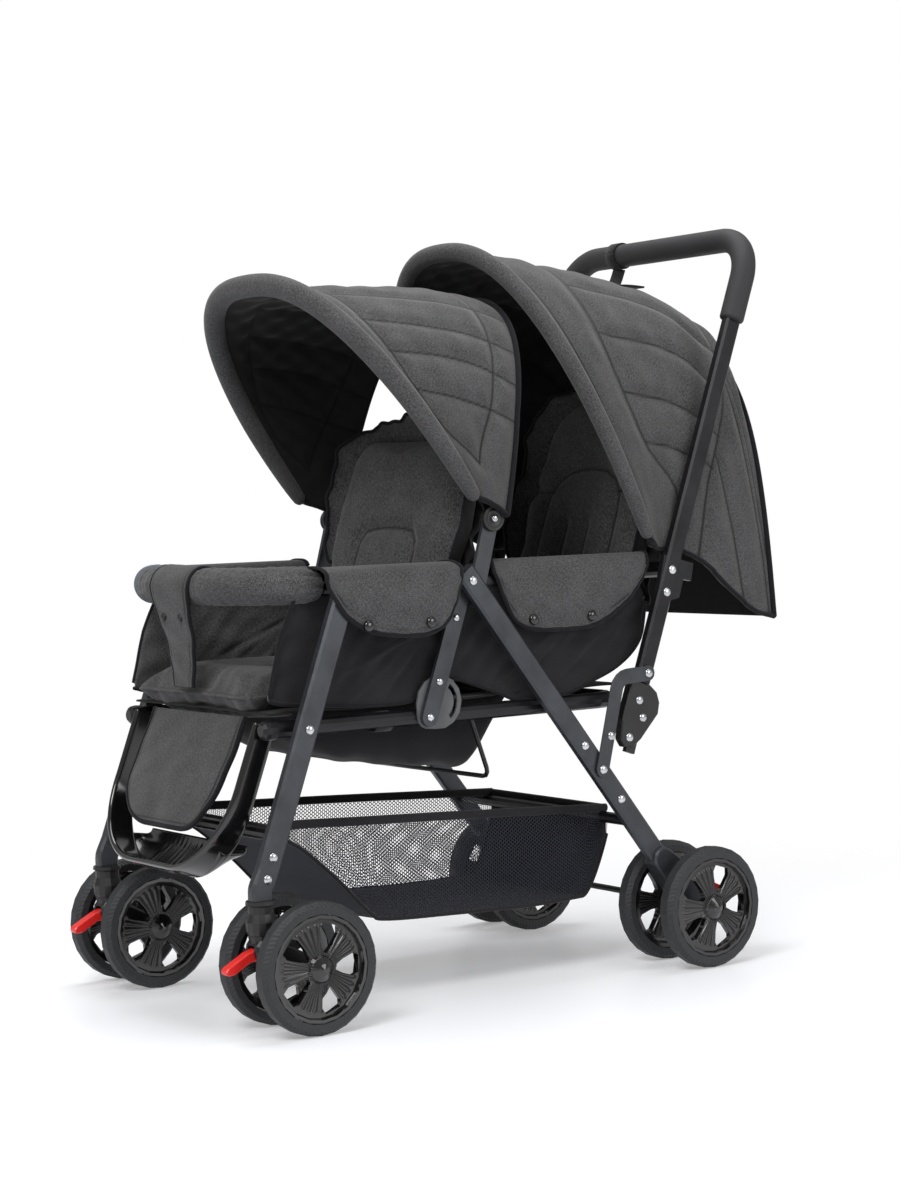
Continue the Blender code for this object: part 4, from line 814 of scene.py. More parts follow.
# The gathered border that stands forward round a seat back: a ribbon from the outline, waved by two sines along its run.
def backBorder(name, look, body, reach, start):
    edge = np.array(look["outline"])
    keep = edge[:, 0] >= start
    height = edge[keep, 0] * look["halfLength"]
    line = np.concatenate([
        np.stack([edge[keep, 1], height], -1), np.stack([-edge[keep, 1], height], -1)[::-1],
    ])
    line = evenSteps(line, 240)
    run = runLength(line)
    tangent = np.gradient(line, axis=0)
    tangent /= np.linalg.norm(tangent, axis=1, keepdims=True)
    away = np.stack([tangent[:, 1], -tangent[:, 0]], -1)
    share = np.linspace(0, 1, 18)[:, None]
    fade = np.sin(math.pi * np.linspace(0, 1, 240)) ** 0.3
    over = np.clip(away[:, 1], 0, 1) ** 2  # 1 along the top of the back, 0 down its sides
    wave = (0.0042 * np.sin(run * 37 + 0.6) + 0.0024 * np.sin(run * 88 + 1.3) + 0.0012 * np.sin(run * 190)) * fade
    out = -0.018 + (0.030 + 0.005 * over) * np.sin(share * math.pi * 0.5) ** 0.8 * fade + share**1.5 * wave
    rise = reach * (1 - 0.55 * over) * share * (0.35 + 0.65 * fade) + share * wave * 0.8
    a = line[None, :, 0] + away[None, :, 0] * out
    b = line[None, :, 1] + away[None, :, 1] * out
    grid = np.stack([a, b, rise - 0.010], -1)
    inside = np.stack([a - away[None, :, 0] * 0.003, b - away[None, :, 1] * 0.003, rise - 0.010], -1)
    axes = np.array(look["axes"])
    ruffle = shell(name, grid @ axes + look["centre"], inside @ axes + look["centre"], [oxford, heatherPad])
    finishPiece(ruffle, body)
    rim = ((grid[-1] + inside[-1]) / 2) @ axes + look["centre"]
    addTrim(f"{name}_trim", rim, 0.0028, 0.0022, body, up=axes[2], sides=8)


# The dark cloth between a seat back and the frame beside it: a strip from behind the pad's side out to the outline
# (height, half-width).
def backWings(name, look, body, outline):
    axes = np.array(look["axes"])
    z = np.linspace(outline[0][0], outline[-1][0], 70)[:, None]
    share = np.linspace(0, 1, 22)[None]
    b = (z - look["centre"][2]) / axes[1][2]
    far = np.interp(z, [p[0] for p in outline], [p[1] for p in outline])
    a = 0.120 + (far - 0.120) * share
    n = -0.0125 + 0.0050 * share**2 * np.sin(z * 95 + 1.2 * share) + 0.0018 * np.sin(z * 240 + 9 * share) * share
    made = []
    for sign in (1, -1):
        grid = np.stack([sign * a, b + 0 * a, n], -1) @ axes + look["centre"]
        made.append(shell(name, grid, grid + axes[2] * 0.0024, [oxford, oxford]))
    finishPiece(joined(name, made), body)


backBorder("front_back_border", frontBackLook, "front_back_frame", 0.040, -0.15)
backBorder("rear_back_border", rearBackLook, "rear_back_frame", 0.048, -0.5)
backWings("front_back_wings", frontBackLook, "front_back_frame", [
    (0.500, 0.156), (0.570, 0.154), (0.580, 0.164), (0.608, 0.164), (0.635, 0.156), (0.700, 0.150),
])
backWings("rear_back_wings", rearBackLook, "rear_back_frame", [
    (0.500, 0.156), (0.572, 0.156), (0.584, 0.184), (0.660, 0.184), (0.720, 0.165), (0.740, 0.140),
])

# The armrests' tubes lie at x = armX, z = armZ. Each cover's line is its lower edge as (y, z).
armX, armZ = 0.172, 0.543
coverLook = {
    "front": {"outer": 0.2150, "line": [
        (-0.2600, 0.5560), (-0.2560, 0.5420), (-0.2450, 0.5250), (-0.2290, 0.5050), (-0.1980, 0.4875),
        (-0.1550, 0.4795), (-0.1080, 0.4795), (-0.0810, 0.4930), (-0.0670, 0.5170), (-0.0570, 0.5460),
    ]},
    "rear": {"outer": 0.1887, "line": [
        (0.0130, 0.5540), (0.0240, 0.5340), (0.0380, 0.5000), (0.0545, 0.4820), (0.0860, 0.4725),
        (0.1530, 0.4715), (0.1870, 0.4770), (0.2300, 0.5000), (0.2570, 0.5255), (0.2725, 0.5500),
    ]},
}


# A cover's cross-section: up the inner side of the arm, over its padded top and down the outer flap to the drop line.
def coverSurface(look, sign):
    rows, cols, outer = 90, 46, look["outer"]
    rowsOut = []
    for y, drop in smoothPath(look["line"], rows):
        hang = max(armZ + 0.010 - drop, 0.001)
        section = [
            (armX - 0.0152, armZ - 0.008), (armX - 0.0155, armZ + 0.008), (armX - 0.0110, armZ + 0.0205),
            (armX, armZ + 0.0252), ((armX + outer) / 2 + 0.004, armZ + 0.0250), (outer - 0.0015, armZ + 0.0190),
            (outer + 0.0006, armZ + 0.010),
            (outer + 0.0006 + 0.0035 * min(hang / 0.05, 1), armZ + 0.010 - hang * 0.5), (outer, armZ + 0.010 - hang),
        ]
        row = smoothPath(section, cols)
        rowsOut.append(np.stack([row[:, 0] * sign, np.full(cols, y), row[:, 1]], -1))
    grid = np.array(rowsOut)
    wrinkle = 0.0011 * np.sin(grid[..., 1] * 150 + grid[..., 2] * 210) * np.sin(grid[..., 1] * 63 + 0.8 + grid[..., 2] * 40)
    grid[..., 0] += sign * wrinkle * np.linspace(0, 1, cols)[None] ** 1.5
    return grid


def armrestCovers():
    for side, sign in (("left", 1), ("right", -1)):
        for which, look in coverLook.items():
            grid = coverSurface(look, sign)
            out = gridNormals(grid)
            if (out[:, -1, 0] * sign).mean() < 0:
                out = -out
            down = runLength(grid.transpose(1, 0, 2)).T
            seam = bell(np.abs(down - down[:, -1:]) - 0.0085, 0.0008)
            cover = shell(f"armrest_{which}_cover_{side}", grid, grid - out * 0.0026, [heather, oxford], {"seam": seam})
            finishPiece(cover, "armrests", [f"armrest_cover_{side}"])
            edge = np.concatenate([grid[0, 12:-1], grid[:, -1], grid[-1, 12:-1][::-1]]) - (sign * 0.0012, 0, 0)
            addTrim(f"armrest_{which}_trim_{side}", evenSteps(edge, 260), 0.0033, 0.0022, "armrests")


armrestCovers()


# The bar's bow: x = half * |cos t|^0.8, y falls away by depth * |sin t|^0.8.
barLook = {"half": armX, "back": -0.228 - 0.0195, "depth": 0.0930, "z": armZ + 0.004, "radius": 0.0237}


def barPath():
    turn = np.linspace(0, math.pi, 1200)
    x = np.sign(np.cos(turn)) * barLook["half"] * np.abs(np.cos(turn)) ** 0.80
    rise = np.abs(np.sin(turn)) ** 0.8
    rise[[0, -1]] = 0
    return evenSteps(np.stack([x, barLook["back"] - barLook["depth"] * rise, np.full_like(x, barLook["z"])], -1), 240)


# The shirred sleeve: radius = R * end * (1 + gathers), where gathers are sines round the bar that grow towards its ends.
def paddedBar():
    path = barPath()
    count, sides = len(path), 72
    share = np.linspace(0, 1, count)[:, None]
    side, up = pathFrames(path, (0, 0, 1))[1:]
    turn = np.linspace(0, 2 * math.pi, sides, endpoint=False)[None]
    near = np.minimum(share, 1 - share)
    end = np.clip(near / 0.055, 0, 1) ** 0.5 * 0.42 + 0.58
    gather = 0.13 * np.exp(-near / 0.060) * (np.sin(turn * 9 + 14 * share) * 0.6 + np.sin(turn * 17 - 21 * share) * 0.4)
    fine = 0.016 * np.sin(turn * 13 + 2.5 * np.sin(share * 23) + share * 9)
    gather = gather + fine * (0.4 + 0.6 * np.sin(share * 47 + turn) ** 2)
    crease = 0.02 * np.sin(share * 88 + 2.2 * np.sin(turn)) * np.sin(turn * 2 + share * 31)
    crease = crease + 0.012 * np.sin(share * 190 + 3 * np.cos(turn))
    radius = barLook["radius"] * end * (1 + gather + crease * (1 - 0.4 * np.exp(-near / 0.1)))
    grid = path[:, None] + side[:, None] * (np.cos(turn) * radius)[..., None]
    grid = grid + up[:, None] * (np.sin(turn) * radius)[..., None]
    around = np.linspace(0, 2 * math.pi * barLook["radius"], sides + 1)
    uv = np.concatenate([gridUv(count, sides, runLength(path), around, wrap=True), np.zeros((2 * sides, 2))])
    bar = makeObject("padded_bar", grid, closedFaces(count, sides), heather, uv)
    finishPiece(bar, "bumper", ["bumper_bar"])


paddedBar()


# Painted sheen: a blue-grey sleeve over the bar's far bend, the stretch of the bar that lies furthest to one side.
# It stands for the bluish light seen on the bar there; the near bend gets none.
def paintBarSheen():
    path = barPath()
    away = path @ np.array([0.573, 0.82, 0])
    bend = path[away < away.min() + 0.0035]
    radius = barLook["radius"] + 0.0016
    cap = tube("bar_painted_sheen", evenSteps(bend, 40), radius, radius, barSheenPaint, sides=40, cap=0.12)
    finishPiece(cap, "bumper")


paintBarSheen()

# The crotch strap goes over the bar and down to the cushion: its run is an arc round the bar, then a gentle curve down.
strapLook = {"foot": (-0.3480, 0.4180), "half": 0.0480, "footHalf": 0.0225, "thick": 0.0034}


def crotchStrap():
    middleY, middleZ = barPath()[120][1:]
    turn = np.radians(np.linspace(-62, 183, 60))
    radius = barLook["radius"] + 0.0022
    arc = np.stack([middleY + radius * np.cos(turn), middleZ + radius * np.sin(turn)], -1)
    foot = strapLook["foot"]
    bends = [(arc[-1][0] + 0.0035, middleZ - 0.028), (foot[0] - 0.0035, (middleZ + foot[1]) / 2 - 0.010)]
    down = smoothPath([arc[-1], *bends, foot], 70)
    line = evenSteps(np.concatenate([arc, down[1:]]), 150)
    fall = np.clip((middleZ - line[:, 1]) / (middleZ - foot[1]), 0, 1) * (line[:, 0] < middleY + 0.004)
    half = strapLook["half"] + (strapLook["footHalf"] - strapLook["half"]) * (fall**0.9)
    across = np.linspace(-1, 1, 30)
    normal = np.gradient(line, axis=0)
    normal = np.stack([normal[:, 1], -normal[:, 0]], -1)
    normal /= np.linalg.norm(normal, axis=1, keepdims=True)
    if normal[20] @ (line[20] - (middleY, middleZ)) < 0:
        normal = -normal
    belly = 0.0016 * (1 - across**4)[None] + 0.0006 * np.sin(line[:, 1:] * 160 + across[None] * 3)

    def surface(lift):
        plane = line[:, None] + normal[:, None] * (lift + belly)[..., None]
        return np.concatenate([(half[:, None] * across[None])[..., None], plane], -1)

    outer, inner = surface(0.0), surface(-strapLook["thick"])
    seam = bell(half[:, None] * (1 - np.abs(across[None])) - 0.006, 0.0008)
    strap = shell("crotch_strap_pad", outer, inner, [heather, oxford], {"seam": seam})
    finishPiece(strap, "bumper", ["crotch_strap"])
    for name, k in (("left", -1), ("right", 0)):
        addTrim(f"crotch_strap_trim_{name}", (outer[:, k] + inner[:, k]) / 2, 0.0026, 0.0030, "bumper")
    return line


strapLine = crotchStrap()
print("covers and bar made")

tubLook = {
    "x": 0.1792, "floor": 0.3895, "thick": 0.0024, "hole": (0.1265, -0.036, 0.044),
    "low": [
        (-0.327, 0.406), (-0.300, 0.400), (-0.210, 0.392), (-0.135, 0.390), (-0.100, 0.396), (-0.072, 0.410),
        (-0.048, 0.4155), (-0.024, 0.409), (0.024, 0.392), (0.056, 0.3815), (0.131, 0.384), (0.174, 0.396),
        (0.227, 0.417), (0.263, 0.448), (0.276, 0.500),
    ],
    "top": [
        (-0.327, 0.4140), (-0.322, 0.4330), (-0.310, 0.4810), (-0.294, 0.5150), (-0.285, 0.5320), (-0.230, 0.5340),
        (0.230, 0.5360), (0.262, 0.5300), (0.276, 0.5060),
    ],
    "ridges": [
        (-0.205, 0.40, 1.3, 0.009, 0.0040), (-0.150, 0.40, 0.9, 0.007, -0.0034), (-0.172, 0.45, 2.4, 0.010, 0.0036),
        (-0.060, 0.42, -0.5, 0.008, 0.0030), (0.010, 0.40, 1.6, 0.008, 0.0036), (0.055, 0.39, 1.1, 0.007, -0.0036),
        (0.110, 0.40, 1.4, 0.009, 0.0040), (0.165, 0.41, 1.0, 0.008, -0.0034),
    ],
}


# A side panel: a sheet between its hem and its top line. Each fold is a ridge exp(-(d / w)^2) along a slanted line,
# for (start y, start z, slope dy/dz, width w, height).
def tubSides():
    low, top = smoothPath(tubLook["low"], 400), np.array(tubLook["top"])
    ys = np.linspace(tubLook["low"][0][0], tubLook["low"][-1][0], 240)
    lowZ = np.interp(ys, low[:, 0], low[:, 1])
    topZ = np.maximum(np.interp(ys, top[:, 0], top[:, 1]), lowZ + 0.004)
    share = np.linspace(0, 1, 70)[None]
    z = lowZ[:, None] + share * (topZ - lowZ)[:, None]
    y = np.repeat(ys[:, None], share.size, 1)
    folds = 0.0024 * np.sin(y * 46 + z * 71) * np.sin(z * 88 - y * 22)
    folds = folds + 0.0014 * np.sin(y * 120 - z * 150 + 2 * np.sin(y * 31))
    for y0, z0, slope, wide, high in tubLook["ridges"]:
        folds = folds + high * bell(y - y0 - (z - z0) * slope, wide) * bell(z - z0 - 0.02, 0.05)
    calm = np.sin(math.pi * np.clip(share, 0.02, 0.98)) ** 0.5
    for side, sign in (("left", 1), ("right", -1)):
        x = sign * (tubLook["x"] - 0.0035 * calm + folds * calm * 0.8)
        outer = np.stack([x, y, z], -1)
        inner = outer - (sign * tubLook["thick"], 0, 0)
        panel = shell(f"tub_side_{side}", outer, inner, [oxford, heather])
        finishPiece(panel, "seat_frame", ["seat_tub"])
        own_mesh(panel)
        for name, line in (("front", outer[ys < -0.286, -1]), ("low", outer[:, 0])):
            trim = addTrim(f"tub_{name}_piping_{side}", evenSteps(line, 120), 0.0026, 0.0026, "seat_frame", sides=8)
            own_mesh(trim)


tubSides()


# The seat floor, a sheet with the rear child's foot opening left out, given its thickness by Solidify.
def tubFloor():
    rows, cols = 92, 61
    xs, ys = np.linspace(-0.1765, 0.1765, cols), np.linspace(-0.325, 0.235, rows)
    halfHole, holeFront, holeRear = tubLook["hole"]
    grid = np.stack([*np.meshgrid(xs, ys, indexing="xy"), np.zeros((rows, cols))], -1)
    grid[..., 2] = tubLook["floor"] - 0.0012 * np.cos(grid[..., 0] * 17) * np.sin(grid[..., 1] * 40)
    faces = gridFaces(rows, cols)
    middle = grid.reshape(-1, 3)[faces].mean(axis=1)
    hole = (np.abs(middle[:, 0]) < halfHole) & (middle[:, 1] > holeFront) & (middle[:, 1] < holeRear)
    uv = gridUv(rows, cols, ys, xs).reshape(-1, 4, 2)[~hole].reshape(-1, 2)
    floor = makeObject("tub_floor", grid, faces[~hole], lining, uv)
    wall = floor.modifiers.new("wall", "SOLIDIFY")
    wall.thickness, wall.offset = tubLook["thick"], 0
    finishPiece(floor, "seat_frame")


tubFloor()


# The rear child's foot bag: along the trough's line, each cross-section is a super-ellipse from rim to rim.
def footBag():
    line = smoothPath([
        (-0.262, 0.3865), (-0.240, 0.345), (-0.190, 0.318), (-0.100, 0.302), (0.000, 0.290), (0.022, 0.293),
        (0.050, 0.338), (0.078, 0.3865),
    ], 90)
    turn = np.linspace(0, math.pi, 90)
    depth = tubLook["floor"] - line[:, 1]
    x = np.sign(np.cos(turn)) * np.abs(np.cos(turn)) ** 0.35
    fall = np.abs(np.sin(turn)) ** 0.35
    grid = np.stack([
        0.1295 * x[None] * (0.97 + 0.03 * depth[:, None] / 0.09), line[:, :1] + 0 * x[None],
        tubLook["floor"] - depth[:, None] * fall[None],
    ], -1)
    grid[..., 2] += 0.0022 * np.sin(grid[..., 0] * 60 + grid[..., 1] * 30) * np.sin(grid[..., 1] * 75) * fall
    out = gridNormals(grid)
    if out[45, 45, 2] > 0:
        out = -out
    bag = shell("foot_bag", grid, grid - out * 0.0022, [oxford, lining])
    finishPiece(bag, "seat_frame")


footBag()
print("tub made")

# The flap hangs from the cushion's front edge along its run, with round lower corners and a belly of 6 mm.
flapLook = {
    "run": [(-0.3275, 0.3835), (-0.3480, 0.3380), (-0.3700, 0.2950), (-0.3830, 0.2660), (-0.3880, 0.2430)],
    "half": 0.1180, "radius": 0.074, "thick": 0.0042,
}


def calfFlap():
    run = smoothPath(flapLook["run"], 200)
    radius, along = flapLook["radius"], runLength(run)
    length = along[-1]
    turn = np.linspace(0, math.pi / 2, 40)
    depth = np.concatenate([np.linspace(0, length - radius, 30)[:-1], length - radius + radius * np.sin(turn)])
    half = np.concatenate([np.full(29, flapLook["half"]), flapLook["half"] - radius * (1 - np.cos(turn))])
    across = np.linspace(-1, 1, 70)
    x = half[:, None] * across[None]
    belly = 0.006 * np.sin(math.pi * depth / length)[:, None] * (1 - np.abs(across[None]) ** 3)
    belly = belly + 0.0012 * np.sin(x * 70 + depth[:, None] * 45) * np.sin(depth[:, None] * 55)
    middle = np.stack([np.interp(depth, along, run[:, k]) for k in (0, 1)], -1)
    down = np.gradient(middle, axis=0)
    away = np.stack([down[:, 1], -down[:, 0]], -1)
    away /= np.linalg.norm(away, axis=1, keepdims=True)
    outer = np.concatenate([x[..., None], middle[:, None] + away[:, None] * (0.001 + belly)[..., None]], -1)
    inner = outer - np.pad(away, ((0, 0), (1, 0)))[:, None] * flapLook["thick"]
    gap = np.minimum(half[:, None] * (1 - np.abs(across[None])), (length - depth)[:, None])
    flap = shell("calf_flap_pad", outer, inner, [heather, oxford], {"seam": bell(gap - 0.0065, 0.0008)})
    finishPiece(flap, "seat_frame", ["calf_flap"])
    mid = (outer + inner) / 2
    edge = np.concatenate([mid[:, 0], mid[-1, 1:-1], mid[:, -1][::-1]])
    addTrim("calf_flap_trim", evenSteps(edge, 260), 0.0040, 0.0036, "seat_frame", up=(0, -1, 0))


calfFlap()

# The footrest's floor: a dish whose underside follows the hoop's bend at the front,
# z = level + squeeze * (bend - sqrt(bend^2 - (|x| - flat)^2)), and goes over into a level rear rim by s^1.4. Its lip
# rises by |2s - 1|^8 before and behind.
dishLook = {
    "level": 0.1772, "flat": 0.0507, "bend": 0.105, "squeeze": 0.9347, "reach": 0.1340, "front": -0.3800,
    "rear": -0.3340, "rim": 0.2100, "wall": 0.0040, "lip": 0.0080,
}


def footrestDish():
    x = np.linspace(-dishLook["reach"], dishLook["reach"], 141)[:, None]
    past = np.maximum(np.abs(x) - dishLook["flat"], 0)
    under = dishLook["level"] + dishLook["squeeze"] * (dishLook["bend"] - np.sqrt(dishLook["bend"] ** 2 - past**2))
    s = np.linspace(0, 1, 49)[None]
    lip = dishLook["lip"] * np.abs(2 * s - 1) ** 8
    ribs = 0.0003 * np.cos(x * 2 * math.pi / 0.012) * np.clip(1 - (x / 0.085) ** 8, 0, 1) * np.clip(1 - (2 * s - 1) ** 8, 0, 1)
    y = dishLook["front"] + (dishLook["rear"] - dishLook["front"]) * s + 0 * x
    under = under + (dishLook["rim"] - under) * s**1.4
    x = x * (1 - 0.07 * s)
    top = np.stack([x, y, under + dishLook["wall"] + lip + ribs], -1)
    low = np.stack([x, y, under + lip * 0.8], -1)
    dish = shell("footrest_dish", low, top, [glossPlastic, glossPlastic])
    finishPiece(dish, "seat_frame", ["footrest_tray"])


footrestDish()


# The footrest's hoop: two straight legs and a bar joined by arcs of 105 mm; its band widens towards the foot.
def footrestHoop():
    half, radius, foot, top = 0.1557, 0.105, np.array((-0.392, 0.190)), np.array((-0.322, 0.374))
    rise = np.array((0, *(top - foot))) / np.linalg.norm(top - foot)
    base = np.array((0, *foot))
    turn = np.linspace(0, math.pi / 2, 48)[:, None]
    corner = base + (half - radius, 0, 0) + rise * radius + radius * (np.cos(turn) * (1, 0, 0) - np.sin(turn) * rise)
    right = np.concatenate([[(half, *top)], corner])
    path = evenSteps(np.concatenate([right, right[::-1] * (-1, 1, 1)]), 300)
    deep = np.clip((0.30 - path[:, 2]) / 0.11, 0, 1)
    wide = 0.0160 + 0.0050 * deep * deep * (3 - 2 * deep)
    around = np.linspace(0, 2 * math.pi, 36, endpoint=False)
    x, y = np.cos(around), np.sin(around)
    profile = np.stack([np.copysign(np.abs(x) ** 0.4, x), np.copysign(np.abs(y) ** 0.75, y) * (1 - 0.35 * x**8)], -1)
    hoop = tube("footrest_band", path, wide, np.full(300, 0.0046), glossPlastic, up=(1, 0, 0), cap=0.3, profile=profile)
    finishPiece(hoop, "seat_frame", ["footrest_hoop"])


footrestHoop()

basketLook = {
    "half": 0.138, "wall": 0.0014,
    "low": [
        (-0.2900, 0.228), (-0.2600, 0.211), (-0.2100, 0.168), (-0.1600, 0.1180), (-0.1350, 0.1070), (-0.0300, 0.1015),
        (0.1000, 0.097), (0.1880, 0.099),
    ],
    "rim": [
        (-0.2900, 0.2380), (-0.2700, 0.2432), (-0.1890, 0.2392), (-0.0330, 0.2314), (0.1000, 0.2240), (0.2320, 0.2165),
    ],
}


# Net: hexagonal cells laid on a surface, each a ring of six quads; the surface is a bilinear read of its grid.
def netPiece(name, grid, cell, bar, material):
    rows, cols = grid.shape[:2]
    lengthU, lengthT = runLength(grid)[-1].mean(), runLength(grid.transpose(1, 0, 2))[-1].mean()
    pitchU, pitchT = cell * 1.5, cell * math.sqrt(3)
    countU, countT = int(lengthU / pitchU), int(lengthT / pitchT)
    i, j = np.meshgrid(np.arange(countU + 1), np.arange(countT + 1), indexing="ij")
    cu = (i * lengthU / countU).ravel()
    ct = ((j + 0.5 * (i % 2)) * lengthT / countT).ravel()
    turn = np.arange(6) * math.pi / 3
    ru, rt = lengthU / countU / 1.5, lengthT / countT / math.sqrt(3)
    corners = [
        np.stack([cu[:, None] + np.cos(turn) * ru * k, ct[:, None] + np.sin(turn) * rt * k], -1)
        for k in (1.0, 1.0 - bar / cell)
    ]
    flat = np.clip(np.concatenate(corners, 1), 0, (lengthU, lengthT))
    u = flat[..., 0] / lengthU * (rows - 1)
    t = flat[..., 1] / lengthT * (cols - 1)
    a, b = np.clip(u.astype(int), 0, rows - 2), np.clip(t.astype(int), 0, cols - 2)
    su, st = (u - a)[..., None], (t - b)[..., None]
    points = (grid[a, b] * (1 - su) + grid[a + 1, b] * su) * (1 - st)
    points = points + (grid[a, b + 1] * (1 - su) + grid[a + 1, b + 1] * su) * st
    base = (np.arange(len(cu)) * 12)[:, None]
    ring = np.arange(6)[None]
    after = (ring + 1) % 6
    faces = np.stack([base + ring, base + after, base + 6 + after, base + 6 + ring], -1).reshape(-1, 4)
    p0, p1, p2, p3 = (points.reshape(-1, 3)[faces[:, k]] for k in range(4))
    area = np.linalg.norm(np.cross(p2 - p0, p3 - p1), axis=1)
    return makeObject(name, points, faces[area > 1e-9], material, merge=2e-5)


def makeBasket():
    half = basketLook["half"]
    ys = np.linspace(-0.2900, 0.2320, 140)
    lowLine = smoothPath(basketLook["low"], 200)
    low = np.interp(ys, lowLine[:, 0], lowLine[:, 1])
    rear = np.clip((ys - 0.188) / 0.044, 0, 1)
    low = low + (0.180 - 0.099) * rear**1.5
    rimLine = smoothPath(basketLook["rim"], 200)
    rim = np.interp(ys, rimLine[:, 0], rimLine[:, 1])
    share = np.linspace(0, 1, 40)
    pieces, solids = [], []
    for sign in (1, -1):
        z = low[:, None] + share[None] * (rim - low)[:, None]
        x = sign * (half - 0.004 + 0.007 * np.sin(math.pi * share)[None] * np.clip((rim - low) / 0.08, 0, 1)[:, None])
        side = np.stack([x, np.repeat(ys[:, None], 40, 1), z], -1)
        pieces.append(netPiece(f"basket_net_{sign}", side, 0.0024, 0.0007, netCloth))
        for line, wide, high in ((side[:, -1], 0.0040, 0.0060), (side[:, 0], 0.0026, 0.0026)):
            solids.append(tube("basket_cord", line, wide, high, oxford, sides=10, cap=0.5))
    across = np.linspace(-1, 1, 60)
    bottom = np.stack([
        (half - 0.004) * across[None] + 0 * low[:, None], np.repeat(ys[:, None], 60, 1),
        low[:, None] - 0.004 * (1 - across[None] ** 2) * np.clip((ys[:, None] + 0.30) / 0.05, 0, 1) * (1 - rear[:, None]),
    ], -1)
    wall = basketLook["wall"]
    solids.append(shell("basket_bottom", bottom, bottom + (0, 0, wall), [netCloth, netCloth]))
    for name, y, foot, high, inward in (("front", -0.2900, 0.226, 0.012, wall), ("back", 0.2315, 0.180, 0.0365, -wall)):
        x, z = np.meshgrid((half - 0.004) * across, foot + np.linspace(0, 1, 12) * high)
        panel = np.stack([x, np.full_like(x, y), z], -1)
        solids.append(shell(f"basket_{name}", panel, panel + (0, inward, 0), [oxford, oxford]))
        solids.append(tube(f"basket_{name}_rim", panel[-1], 0.0040, 0.0050, oxford, sides=10, cap=0.5))
    net = joined("basket_net", pieces)
    finishPiece(net, "seat_frame", ["basket"])
    finishPiece(joined("basket_cloth", solids), "seat_frame")


makeBasket()
print("basket made")

handleLean, handleTop, gripStart, trackX = 0.364, 1.002, 0.885, 0.2035


def handlePoint(z):
    return (0.298 + (z - armZ) * handleLean, z)


# The foam grip: a round sleeve along the handle's own line, its corners arcs of 62 mm.
def handleGrip():
    radius = 0.062
    rise = np.array([0, handleLean, 1]) / math.hypot(handleLean, 1)
    top = np.array([trackX, *handlePoint(handleTop)])
    turn = np.linspace(0, math.pi / 2, 24)
    centre = top - rise * radius - (radius, 0, 0)
    corner = centre + np.cos(turn)[:, None] * np.array([radius, 0, 0]) + np.sin(turn)[:, None] * rise * radius
    start = np.array([[trackX, *handlePoint(gripStart)]])
    half = np.concatenate([start, corner])
    path = np.concatenate([half, half[::-1] * (-1, 1, 1)])
    path = evenSteps(path, 260)
    size = np.full(260, 0.0170)
    size[[0, -1]] = 0.0160
    grip = tube("foam_grip", path, size, size, foamRubber, up=(0, -1, handleLean), sides=28, cap=0.12)
    finishPiece(grip, "handle", ["handle_grip"])


handleGrip()


# A domed head: rings at radius r * cos a and height h * sin a, closed by a flat back sunk in the metal.
def domes(name, places, material, body):
    sides, made = 20, []
    turn = np.linspace(0, 2 * math.pi, sides, endpoint=False)
    rings = [(-0.0010, 0, 1.0)] + [(0, math.sin(a), math.cos(a) ** 0.8) for a in np.linspace(0, math.pi / 2, 7)]
    for x, y, z, radius, height, facing in places:
        grid = []
        for sunk, rise, share in rings:
            r = max(radius * share, 1e-5)
            grid.append(np.stack([np.full(sides, sunk + height * rise), r * np.cos(turn), r * np.sin(turn)], -1))
        grid = np.array(grid)
        facing = np.asarray(facing, float) / np.linalg.norm(facing)
        first = np.cross(facing, (0.0, 0.3, 1.0))
        first /= np.linalg.norm(first)
        second = np.cross(facing, first)
        points = grid[..., :1] * facing + grid[..., 1:2] * first + grid[..., 2:] * second + (x, y, z)
        made.append(makeObject(name, points, closedFaces(len(rings), sides), material, merge=2e-5))
    finishPiece(joined(name, made), body)


def rearLegPoint(z):
    return (-0.036 + (armZ - z) * (0.318 + 0.036) / (armZ - 0.0825), z)


linkFoot = rearLegPoint(0.281)
legFootY = -0.290 - 0.170 * 0.378
rivetPlaces = {
    "front_legs": [(0.211, -0.290, 0.370), (0.211, legFootY + 0.006, 0.218), (0.211, legFootY - 0.003, 0.192)],
    "uprights": [(0.1946, -0.098, 0.370), (0.1946, -0.082, 0.415), (0.1946, -0.0529, 0.4959), (0.2012, 0.008, 0.622)],
    "rear_legs": [(0.211, -0.036, 0.543), (0.211, *rearLegPoint(0.315)), (0.211, *rearLegPoint(0.238))],
    "handle": [(0.211, 0.298, 0.543), (0.211, *handlePoint(0.513)), (0.211, 0.234, 0.369), (0.211, 0.239, 0.345), (0.211, 0.215, 0.320)],
    "links": [(0.2155, *linkFoot), (0.2155, *handlePoint(0.405)), (0.2155, linkFoot[0] + 0.015, 0.325)],
}
for body, places in rivetPlaces.items():
    size = 0.0052 if body == "uprights" else 0.0062
    heads = [(x * s, y, z, size, 0.0036, (s, 0, 0)) for x, y, z in places for s in (1, -1)]
    domes(f"{body}_rivets", heads, zinc, body)

snapPlaces = [
    (x * s, y, z, 0.0072, 0.0040, (s, 0, 0))
    for x, y, z in ((0.2180, -0.203, 0.4935), (0.2180, -0.108, 0.4935), (0.1920, 0.074, 0.4865), (0.1920, 0.172, 0.4865))
    for s in (1, -1)
]
domes("cover_snaps", snapPlaces, glossPlastic, "armrests")
snapZ = 0.508
snapY = strapLine[np.argmin(np.abs(strapLine[:, 1] - snapZ) + (strapLine[:, 0] > -0.352)), 0] - 0.0022
strapPlaces = [(x, snapY, snapZ, 0.0052, 0.0026, (0, -1, 0.1)) for x in (-0.022, 0.022)]
domes("strap_snaps", strapPlaces, blackPlastic, "bumper")
print("grip and fasteners made")


